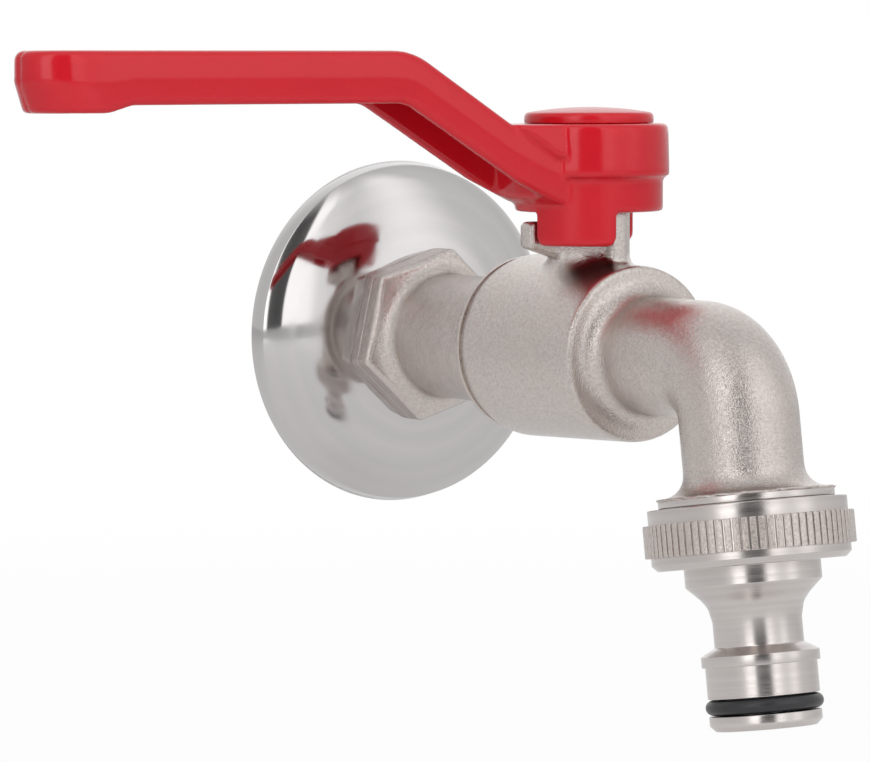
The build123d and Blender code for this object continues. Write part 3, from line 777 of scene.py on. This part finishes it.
HOUSING_ROOT = 1.8
ROOT_DEPTH = 0.6
STEM_BORE = 4.15
COLLAR_ROOM = 5.45
COLLAR_ROOM_LOW = 8
COLLAR_ROOM_TOP = 12.97
STEM_BORE_END = 30
STOP_HALF = 1.55
STOP_ROOT = -5.2
STOP_FACE = -11.9
STOP_FOOT = -6.3
STOP_TOP = 20.0
RIB_HALF = 1.5
RIB_ROOT = -59.9
RIB_BACK = -63.4
RIB_TOP = 22.6
RIB_LOW = 12.4
CAST_VOXEL = 0.42 * MM
# the chamber: its outside from the seam to the spout, then its inside back to the inlet's thread
chamber_outline = rounded_outline(
    [
        (BODY_THREAD[0], SEAM, 0.1),
        (CHAMBER_RIM, SEAM, 0.1),
        (*CHAMBER_WIDEST, 0.5),
        (CHAMBER_FRONT_RADIUS, CHAMBER_FRONT, 1.1),
        (SPOUT + SPOUT_ROOT, CHAMBER_FRONT, 0),
    ],
    0.2,
)
chamber_outline += [
    (SPOUT + SPOUT_ROOT * inwards, CHAMBER_FRONT + SPOUT_ROOT * onwards)
    for inwards, onwards in quarter(10)[1:]
]
chamber_outline += [
    (SPOUT, BEND_START + OVERLAP),
    (WATER_WAY, BEND_START + OVERLAP),
    (WATER_WAY, SEAT_ROOM[1]),
    SEAT_ROOM,
    (SEAT_ROOM[0], BALL_ROOM[1]),
    BALL_ROOM,
    (BALL_ROOM[0], BODY_THREAD[1]),
    BODY_THREAD,
]
room_outline = [
    (0, COLLAR_ROOM_LOW),
    (COLLAR_ROOM, COLLAR_ROOM_LOW),
    (COLLAR_ROOM, COLLAR_ROOM_TOP),
    (STEM_BORE, COLLAR_ROOM_TOP),
    (STEM_BORE, STEM_BORE_END),
    (0, STEM_BORE_END),
]
cutter = add_object("stem_room", turned_mesh("stem_room", room_outline, 64, STEM_FOOT))
chamber = worked(
    turned_mesh("chamber", chamber_outline, 160, axis=WALL_AXIS),
    [("BOOLEAN", {"operation": "DIFFERENCE", "solver": "EXACT", "object": cutter})],
)
bpy.data.objects.remove(cutter)


def bend_ring(radius, bend):
    """A ring of points round the spout, at an angle of its bend."""
    outwards = Vector((0, -math.sin(bend), math.cos(bend)))
    turns = [math.tau * number / 64 for number in range(64)]
    return [
        BEND_MIDDLE + outwards * (BEND_RADIUS + radius * math.cos(turn))
        + Vector((radius * math.sin(turn), 0, 0))
        for turn in turns
    ]


bends = [(math.pi / 2 - OUTLET_TILT) * step / 28 for step in range(29)]
rings = [bend_ring(SPOUT, bend) for bend in bends]
rings += [bend_ring(WATER_WAY, bend) for bend in reversed(bends)]
bend_mesh = lofted("bend", rings, wrapped=True)
# the outlet: its flared lip, and the machined thread below it
outlet_outline = [(WATER_WAY, BEND_END - OVERLAP), (SPOUT, BEND_END - OVERLAP)]
outlet_outline += [
    (SPOUT + LIP_FLARE * outwards, LIP_START + LIP_FLARE * (1 - left))
    for left, outwards in quarter(10)
]
outlet_outline += [
    (LIP, LIP_START + LIP_FLARE),
    (LIP, LIP_END),
    (OUTLET_RELIEF, RELIEF_START),
    (OUTLET_RELIEF, RELIEF_END),
    (OUTLET_THREAD, OUTLET_THREAD_START),
    (OUTLET_THREAD, OUTLET_END),
    (WATER_WAY, OUTLET_END),
]
outlet_mesh = turned_mesh("outlet", outlet_outline, 160, OUTLET_FOOT, OUTLET_AXIS)
housing_outline = rounded_outline(
    [
        (STEM_BORE, HOUSING_LOW),
        (HOUSING, HOUSING_LOW),
        (HOUSING, HOUSING_TOP, 0.6),
        (STEM_BORE, HOUSING_TOP),
    ],
    0.1,
)
housing_mesh = turned_mesh("housing", housing_outline, 96, STEM_FOOT)


def on_chamber(radius, turn, lift):
    """A point round the stem, lifted above the chamber's curved wall."""
    x = radius * math.cos(turn)
    return (x, STEM_Y + radius * math.sin(turn), math.sqrt(CHAMBER ** 2 - x ** 2) + lift)


# the root of the housing: a fillet on the chamber's wall, closed below and inside it
root_profile = [(HOUSING + HOUSING_ROOT * out, HOUSING_ROOT * up) for out, up in quarter(8)]
root_profile += [(COLLAR_ROOM + 0.1, HOUSING_ROOT), (COLLAR_ROOM + 0.1, -ROOT_DEPTH)]
root_profile.append((HOUSING + HOUSING_ROOT, -ROOT_DEPTH))
turns = [math.tau * step / 96 for step in range(96)]
rings = [[on_chamber(radius, turn, lift) for radius, lift in root_profile] for turn in turns]
root_mesh = lofted("housing_root", rings, wrapped=True)
# the stop that the lever's tabs meet, in x and z, and the rib behind the housing, in y and z
stop_outline = rounded_outline(
    [
        (STOP_ROOT, STOP_TOP, 0),
        (STOP_FACE, STOP_TOP),
        (STOP_FACE, 16.0),
        (STOP_FOOT, 14.2, 0.5),
        (STOP_FOOT, 12.2, 0),
        (STOP_ROOT, 12.2, 0),
    ],
    0.7,
)
stop_sides = [STEM_Y - STOP_HALF, STEM_Y + STOP_HALF]
stop_mesh = lofted("stop", [[(x, side, z) for x, z in stop_outline] for side in stop_sides])
rib_outline = rounded_outline(
    [(RIB_ROOT, RIB_LOW), (RIB_BACK, RIB_LOW), (RIB_BACK, RIB_TOP, 1.2), (RIB_ROOT, RIB_TOP)], 0
)
rib_sides = [-RIB_HALF, RIB_HALF]
rib_mesh = lofted("rib", [[(side, y, z) for y, z in rib_outline] for side in rib_sides])


def melted(name, meshes, voxel, rounds):
    """Closed forms run together into one casting, with soft edges where they meet."""
    steps = [
        ("REMESH", {"mode": "VOXEL", "voxel_size": voxel}),
        ("SMOOTH", {"factor": 0.5, "iterations": rounds}),
    ]
    return worked(joined(name, meshes), steps)


body_forms = (chamber, bend_mesh, outlet_mesh, housing_mesh, root_mesh, stop_mesh, rib_mesh)
body_mesh = melted("valve_body_cast", body_forms, CAST_VOXEL, 4)
place_piece(body_mesh, nickel, "tap_body", "blasted_nickel", "valve_body")


# Ball, seats, stem and their rings and washers, held inside the body: a chromed ball between two
# turned plastic seats, a turned brass stem that takes the ball along, rubber rings and a washer.
def plain_finish(name, low, high, metallic, smooth, rough, grain_mm, depth_mm):
    """A finish with a slightly cloudy colour, uneven gloss and a fine grain."""
    material, tree = new_material(name)
    marks = {"Place": object_place(tree), "Grain mm": grain_mm, "Unevenness": 0.3}
    grain = use_group(tree, blasted_grain, marks)
    colour = mixed(tree, grain["Stain"], (*low, 1), (*high, 1))
    gloss = ranged(tree, grain["Shade"], (0.3, 0.7), (smooth, rough))
    finish_material(tree, colour, gloss, grain["Height"], 0.3, depth_mm, Metallic=metallic)
    return material


# each finish: colours, metallic, roughness from and to, grain and depth in mm, and what has it
for name, low, high, *values, owners in (
    ("chromed_ball", (0.74, 0.75, 0.76), (0.8, 0.8, 0.81), 1.0, 0.06, 0.12, 0.4, 0.01, ["ball"]),
    ("bare_brass", (0.76, 0.56, 0.26), (0.83, 0.64, 0.33), 1.0, 0.18, 0.3, 0.15, 0.03, ["stem"]),
    ("black_rubber", (0.018, 0.018, 0.02), (0.03, 0.03, 0.033), 0.0, 0.3, 0.42, 0.2, 0.02,
     ["stem_o_rings", "connector_washer", "nozzle_o_ring"]),
    ("white_plastic", (0.8, 0.8, 0.78), (0.88, 0.88, 0.86), 0.0, 0.4, 0.5, 0.2, 0.02,
     ["inlet_seat", "outlet_seat", "thrust_washer"]),
    ("zinc_steel", (0.62, 0.63, 0.65), (0.72, 0.72, 0.72), 1.0, 0.25, 0.38, 0.2, 0.03,
     ["lock_washer", "handle_nut"]),
):
    finish = plain_finish(name, low, high, *values)
    for owner in owners:
        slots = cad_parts[owner].data.materials
        slots.clear()
        slots.append(finish)


# Lever handle: one aluminium die casting, bright red. Its powder coating is thick and glossy, with
# a faint orange peel and a few dust specks. It sits on the stem's flats under a nut.
def red_finish(name, roughness, peel_mm):
    """Glossy red with a faint peel and small dust specks under the gloss."""
    material, tree = new_material(name)
    place = object_place(tree)
    peel = noise(tree, place, 0.7, 1.5)
    cloud = noise(tree, place, 0.08, 3.0)
    dust = add_node(tree, "ShaderNodeTexVoronoi", {"Vector": place, "Scale": 0.33}, feature="F1")
    speck = ranged(tree, dust.outputs["Distance"], (0.02, 0.05), (1, 0))
    colour = mixed(tree, cloud, RED_LOW, RED_HIGH)
    gloss = ranged(tree, cloud, (0.0, 1.0), (roughness * 0.8, roughness * 1.3))
    height = maths(tree, "ADD", peel, speck)
    finish_material(tree, colour, gloss, height, 0.25, peel_mm, IOR=1.45)
    return material


RED_LOW = (0.576, 0.0085, 0.019, 1)
RED_HIGH = (0.624, 0.0102, 0.02185, 1)
ARM_HALF = 7.4
ARM_TILT = 0.045
ARM_EDGE = 1.2
ARM_RIM = 0.45
ARM_END = 10.4
CHANNEL_HALF = 5.4
CHANNEL_CORNER = 0.8
CHANNEL_LIP = 0.3
CHANNEL_HUB_END = -14.2
CHANNEL_NOSE_END = 29
TOP_BEND = (-36.16, 45.98)
TOP_BEND_RADIUS = 11.0
TOP_SLOPE = 0.625
ROOF_BEND = (-36.79, 43.8)
ROOF_BEND_RADIUS = 8.8
BOTTOM_BEND = (-37.4, 38.2)
BOTTOM_BEND_RADIUS = 6.0
BOTTOM_SLOPE = 0.608
NOSE_START = -88.1
NOSE_TURNS = (87, 84, 80, 75, 70, 64, 57, 50, 43, 36, 30, CHANNEL_NOSE_END, 22, 15, 8)
NOSE_REACH = 10.0
NOSE_WIDEST = 42.5
NOSE_TOP_INSET = 0.5
NOSE_BOTTOM_INSET = 1.8
NOSE_BOTTOM = 37.1
NOSE_FOOT = (-87.0, -83.2)
HUB_FOOT = (-12.4, 23.0)
HUB_FOOT_SLOPE = 0.327
HUB_REACH = 18
HUB_TOP = 34.9
HUB_STEP = 26.8
HUB_BOTTOM = 21.4
HUB_RADII = (12.4, 12.2)
HUB_POCKET = (9.05, 28.8)
HUB_BORE = 4.2
HUB_FLOOR = 24.0
SKIRT = 11.4
SKIRT_INSIDE = 9.4
SHOULDER_BOTTOM = 29.9
SHOULDER_HALF = 7.6
SHOULDER_DRAFT = math.radians(4)
SHOULDER_FRONT = -18.4
SHOULDER_SLOPE = 0.668
SHOULDER_RIM = 0.4
SHOULDER_EDGE = 0.3
TABS = ((190.1, 257.1), (16.6, 79.9))
TAB_TOP = 22.6
TAB_BOTTOM = 16.3
TAB_CORNER = 1.2
COAT_VOXEL = 0.36 * MM


def bent(x, corner, slope, radius):
    """Height at a place along a level line that turns down at a corner through an arc."""
    turn = math.atan(slope)
    start = corner[0] - radius * math.tan(turn / 2)
    end = corner[0] + radius * math.tan(turn / 2) * math.cos(turn)
    if x <= start:
        return corner[1]
    if x >= end:
        return corner[1] - (x - corner[0]) * slope
    return corner[1] - radius + math.sqrt(radius ** 2 - (x - start) ** 2)


def arm_bottom(x):
    """Height of the arm's lower edge, with the nose's deeper block and the foot at the hub."""
    if x < NOSE_FOOT[1]:
        share = max(x - NOSE_FOOT[0], 0) / (NOSE_FOOT[1] - NOSE_FOOT[0])
        return NOSE_BOTTOM + (BOTTOM_BEND[1] - NOSE_BOTTOM) * share
    if x > HUB_FOOT[0]:
        return HUB_FOOT[1] - (x - HUB_FOOT[0]) * HUB_FOOT_SLOPE
    return bent(x, BOTTOM_BEND, BOTTOM_SLOPE, BOTTOM_BEND_RADIUS)


def arm_section(x, hollow):
    """The arm's section at a place as (y, z, how far its edge is rounded in), all round."""
    top = bent(x, TOP_BEND, TOP_SLOPE, TOP_BEND_RADIUS)
    roof = bent(x, ROOF_BEND, TOP_SLOPE, ROOF_BEND_RADIUS)
    bottom = arm_bottom(x)
    waist = (top + bottom) / 2
    narrow = ARM_HALF - ARM_TILT * (top - waist)
    half = [(0, top, ARM_EDGE), (narrow / 2, top, ARM_EDGE)]
    for left, down in quarter(6):
        edge = ARM_EDGE * left
        half.append((narrow - edge, top - ARM_EDGE * down, edge))
    half.append((ARM_HALF, waist, 0))
    for left, inwards in quarter(4):
        edge = ARM_RIM * inwards
        half.append((narrow - edge, bottom + ARM_RIM * left, edge))
    if hollow:
        half.append((CHANNEL_HALF + CHANNEL_LIP, bottom, ARM_RIM))
        half.append((CHANNEL_HALF, bottom + CHANNEL_LIP, ARM_RIM))
        half.append((CHANNEL_HALF, (bottom + roof) / 2, ARM_RIM))
        for left, inwards in quarter(3):
            y = CHANNEL_HALF - CHANNEL_CORNER * inwards
            half.append((y, roof - CHANNEL_CORNER * left, ARM_RIM))
        half.append((0, roof, ARM_RIM))
    else:
        for number in range(8):
            half.append(((CHANNEL_HALF + CHANNEL_LIP) * (1 - number / 7), bottom, ARM_RIM))
    return half + [(-y, z, edge) for y, z, edge in half[-2:0:-1]]


# the arm: rings round the nose, then along the arm, then a few solid ones into the hub
rings = []
for turn in NOSE_TURNS:
    swing = math.radians(turn)
    ring = []
    for y, z, edge in arm_section(NOSE_START, turn <= CHANNEL_NOSE_END):
        above = max(z - NOSE_WIDEST, 0) / (TOP_BEND[1] - NOSE_WIDEST)
        below = max(NOSE_WIDEST - z, 0) / (NOSE_WIDEST - NOSE_BOTTOM)
        reach = NOSE_REACH - NOSE_TOP_INSET * above - NOSE_BOTTOM_INSET * below - edge
        ring.append((NOSE_START - reach * math.sin(swing), STEM_Y + y * math.cos(swing), z))
    rings.append(ring)
run = (CHANNEL_HUB_END - NOSE_START) / 110
stations = [(NOSE_START + number * run, True) for number in range(111)]
stations += [(CHANNEL_HUB_END + 0.3 + number * 0.7, False) for number in range(6)]
for x, hollow in stations:
    share = min(max((x + HUB_REACH) / (HUB_REACH - ARM_END), 0), 1)
    rings.append([
        (x + share * (ARM_END - math.sqrt(ARM_END ** 2 - y ** 2)), STEM_Y + y, z)
        for y, z, edge in arm_section(x, hollow)
    ])
arm_mesh = lofted("arm", rings)

# the shoulder: a block with drafted sides that leans from the hub towards the arm
rings = []
for number in range(13):
    z = SHOULDER_BOTTOM + (HUB_TOP - SHOULDER_BOTTOM) * number / 12
    rim = max(z - (HUB_TOP - SHOULDER_RIM), 0)
    half = SHOULDER_HALF + (HUB_TOP - z) * math.tan(SHOULDER_DRAFT) - rim
    front = SHOULDER_FRONT + (HUB_TOP - z) / SHOULDER_SLOPE
    back = [-half + 2 * half * step / 12 for step in range(13)]
    ring = [(front, SHOULDER_EDGE - half), (front + SHOULDER_EDGE, -half)]
    ring += [(-math.sqrt(ARM_END ** 2 - y ** 2), y) for y in back]
    ring += [(front + SHOULDER_EDGE, half), (front, half - SHOULDER_EDGE)]
    rings.append([(x, STEM_Y + y, z) for x, y in ring])
shoulder_mesh = lofted("shoulder", rings)

hub_outline = rounded_outline(
    [
        (HUB_BORE, HUB_FLOOR),
        (SKIRT_INSIDE, HUB_FLOOR, 0.3),
        (SKIRT_INSIDE, HUB_BOTTOM, 0.2),
        (SKIRT, HUB_BOTTOM, 0.4),
        (SKIRT, HUB_STEP),
        (HUB_RADII[0], HUB_STEP, 0.35),
        (HUB_RADII[1], HUB_TOP, 0.9),
        (HUB_POCKET[0], HUB_TOP, 0.2),
        (*HUB_POCKET, 0.2),
        (HUB_BORE, HUB_POCKET[1]),
    ],
    0.1,
)
hub_mesh = turned_mesh("hub", hub_outline, 160, STEM_FOOT)


def tab_mesh(first, last):
    """A stop tab below the skirt, between two angles in degrees, with rounded lower corners."""
    rings = []
    length = SKIRT * math.radians(last - first)
    for number in range(41):
        along = length * number / 40
        past = max(TAB_CORNER - min(along, length - along), 0)
        low = TAB_BOTTOM + TAB_CORNER - math.sqrt(TAB_CORNER ** 2 - past ** 2)
        turn = math.radians(first) + along / SKIRT
        rings.append([
            (radius * math.cos(turn), STEM_Y + radius * math.sin(turn), z)
            for radius, z in (
                (SKIRT_INSIDE, TAB_TOP), (SKIRT_INSIDE, low + 0.2), (SKIRT_INSIDE + 0.2, low),
                (SKIRT - 0.45, low), (SKIRT - 0.13, low + 0.13), (SKIRT, low + 0.45),
                (SKIRT, TAB_TOP),
            )
        ])
    return lofted("stop_tab", rings)


lever_forms = (arm_mesh, shoulder_mesh, hub_mesh, *[tab_mesh(*angles) for angles in TABS])
lever_mesh = melted("lever_handle_cast", lever_forms, COAT_VOXEL, 5)
red_coat = red_finish("red_coating", 0.14, 0.05)
place_piece(lever_mesh, red_coat, "lever", "red_coating", "lever_handle")


# Handle cap: a round plastic cap moulded in the lever's red, a little less glossy, with a slightly
# domed top. A thin skirt below its rim is pressed into the hub, over the nut.
CAP_RADIUS = 9.95
CAP_TOP = 37.38
CAP_DOME = 0.9
CAP_FLAT = 8.5
CAP_LOW = 34.96
CAP_SKIRT = (7.9, 8.85)
CAP_SKIRT_END = 31.6
CAP_UNDER = 35.3
dome_radii = [CAP_FLAT * number / 8 for number in range(9)]
cap_outline = [(out, CAP_TOP - CAP_DOME * (out / CAP_RADIUS) ** 2, 0) for out in dome_radii]
cap_outline += [
    (CAP_RADIUS, CAP_TOP - CAP_DOME, 0.9),
    (CAP_RADIUS, CAP_LOW, 0.15),
    (CAP_SKIRT[1], CAP_LOW, 0.1),
    (CAP_SKIRT[1], CAP_SKIRT_END, 0.2),
    (CAP_SKIRT[0], CAP_SKIRT_END, 0.2),
    (CAP_SKIRT[0], CAP_UNDER, 0.2),
    (0, CAP_UNDER, 0),
]
cap_outline = rounded_outline(cap_outline, 0.1, 6)
cap_mesh = turned_mesh("handle_cap_moulded", cap_outline, 160, STEM_FOOT)
red_cap = red_finish("red_plastic", 0.2, 0.02)
place_piece(cap_mesh, red_cap, "lever", "red_plastic", "handle_cap")


# Hose connector: turned brass, satin nickel plated, with a rolled ring of grip lands round its band
# and the click nozzle below. It is screwed on the spout against a rubber washer.
SATIN_DARK = (0.60, 0.555, 0.535, 1)
SATIN_LIGHT = (0.70, 0.655, 0.635, 1)


def turned_nickel():
    """Satin nickel over turned brass, with tool rings round the outlet's axis."""
    material, tree = new_material("turned_nickel")
    place = object_place(tree, OUTLET_FOOT, -OUTLET_TILT)
    marks = {"Place": place, "Rings per mm": 9.0, "Rings across": 0.0, "Waver": 0.05}
    rings = use_group(tree, turning_rings, marks)
    colour = mixed(tree, rings["Shade"], SATIN_DARK, SATIN_LIGHT)
    gloss = ranged(tree, rings["Shade"], (0.3, 0.7), (0.24, 0.17))
    finish_material(
        tree, colour, gloss, rings["Height"], strength=0.25, depth_mm=0.03, Metallic=1.0
    )
    return material


satin = turned_nickel()
EDGE = 0.12
LAND_COUNT = 78
LAND_RADIUS = 15.5
LAND_ROOT = 15.2
LAND_FOOT = 14.4
LAND_SHARE = 0.8
LAND_TOP = 22.7
LAND_BOTTOM = 27.5
LAND_EDGE = 0.14
BAND_INSIDE = 14.3
connector_outline = [
    # the band that the grip ring sits on, and its chamfer
    (13.2, 20.5),
    (14.65, 20.5, 0.2),
    (14.65, 28.65, 0.3),
    (13.8, 29.5, 0.3),
    # the collar and the waist
    (10.03, 29.5, 0.1),
    (10.03, 32.2, 0.15),
    (8.05, 34.1, 1.2),
    (7.05, 35.4, 2.5),
    (6.55, 37.6, 3.0),
    (6.55, 41.3, 0.3),
    # the click nozzle: shoulder, barrel, groove for the rubber ring, and tip
    (8.68, 42.5, 0.12),
    (8.68, 44.05, 0.1),
    (8.2, 44.05, 0.05),
    (8.2, 48.7, 0.12),
    (6.45, 48.7, 0.1),
    (6.45, 51.2, 0.1),
    (8.25, 51.2, 0.15),
    (8.25, 52.6, 0.3),
    (7.4, 53.45, 0.3),
    # the water way, and the room for the spout's end
    (4.8, 53.45, 0.2),
    (4.8, 28.0),
    (13.2, 28.0),
]
step_outline = [(12.4, 19.35, 0.05), (12.95, 19.35, 0.1), (12.95, 20.4, 0.1), (12.4, 20.4, 0.05)]


def on_outlet(name, corners, segments):
    """A form turned round the outlet's axis, with its corners broken."""
    outline = rounded_outline(corners, EDGE)
    return turned_mesh(name, outline, segments, OUTLET_FOOT, OUTLET_AXIS)


step_mesh = on_outlet("spout_step", step_outline, 200)
place_piece(step_mesh, satin, "tap_body", "turned_nickel")
nozzle_mesh = on_outlet("tap_connector_turned", connector_outline, 256)
place_piece(nozzle_mesh, satin, "tap_body", "turned_nickel", "tap_connector")


def land_mesh():
    """One land of the grip ring: a short bar with rounded long edges and ends, about its axis."""
    wide = math.tau * LAND_RADIUS / LAND_COUNT * LAND_SHARE / 2
    deep = LAND_RADIUS - LAND_FOOT
    tall = (LAND_BOTTOM - LAND_TOP) / 2
    shape = bmesh.new()
    bmesh.ops.create_cube(shape, size=2)
    for vert in shape.verts:
        x, y, z = vert.co
        vert.co = Vector((x * deep / 2 - deep / 2, y * wide, z * tall)) * MM
    outer = [edge for edge in shape.edges if all(vert.co.x > -0.1 * MM for vert in edge.verts)]
    bmesh.ops.bevel(
        shape, geom=outer, offset=LAND_EDGE * MM, offset_type="OFFSET", segments=2, profile=0.5,
        affect="EDGES",
    )
    mesh = bpy.data.meshes.new("grip_land")
    shape.to_mesh(mesh)
    shape.free()
    mesh.shade_smooth()
    return mesh


# the grip ring: one land repeated round a circle, turned to face outwards and set on the outlet
ring_tree, given, result = new_group(
    "grip_ring",
    "GeometryNodeTree",
    {
        "Land": "Object",
        "Count": "Int",
        "Radius": "Float",
        "Middle": "Vector",
        "Turn": "Vector",
        "Finish": "Material",
    },
    {"Ring": "Geometry"},
)
circle = add_node(
    ring_tree, "GeometryNodeMeshCircle", {"Vertices": given["Count"], "Radius": given["Radius"]}
)
spot = add_node(ring_tree, "GeometryNodeInputPosition").outputs[0]
facing = add_node(
    ring_tree, "FunctionNodeAlignEulerToVector", {"Vector": spot}, axis="X", pivot_axis="Z"
).outputs[0]
bar = add_node(ring_tree, "GeometryNodeObjectInfo", {"Object": given["Land"]}).outputs["Geometry"]
lands = chained(
    ring_tree,
    circle.outputs[0],
    (
        ("InstanceOnPoints", {"Instance": bar, "Rotation": facing}),
        ("RealizeInstances", {}),
        ("Transform", {"Translation": given["Middle"], "Rotation": given["Turn"]}),
        ("SetMaterial", {"Material": given["Finish"]}),
    ),
)
ring_tree.links.new(lands, result[0])

land = add_object("grip_land", land_mesh())
land_middle = Vector(OUTLET_FOOT) + Vector(OUTLET_AXIS) * (LAND_TOP + LAND_BOTTOM) / 2
ring_mesh = grown(
    ring_tree,
    "grip_ring",
    {
        "Land": land,
        "Count": LAND_COUNT,
        "Radius": LAND_RADIUS * MM,
        "Middle": land_middle * MM,
        "Turn": Vector(OUTLET_AXIS).to_track_quat("Z", "Y").to_euler(),
        "Finish": nickel,
    },
)
bpy.data.objects.remove(land)
place_piece(ring_mesh, nickel, "tap_body", "blasted_nickel")
band_outline = [
    (BAND_INSIDE, LAND_TOP),
    (LAND_ROOT, LAND_TOP, 0.1),
    (LAND_ROOT, LAND_BOTTOM, 0.1),
    (BAND_INSIDE, LAND_BOTTOM),
]
place_piece(on_outlet("grip_ring_root", band_outline, 256), satin, "tap_body", "turned_nickel")
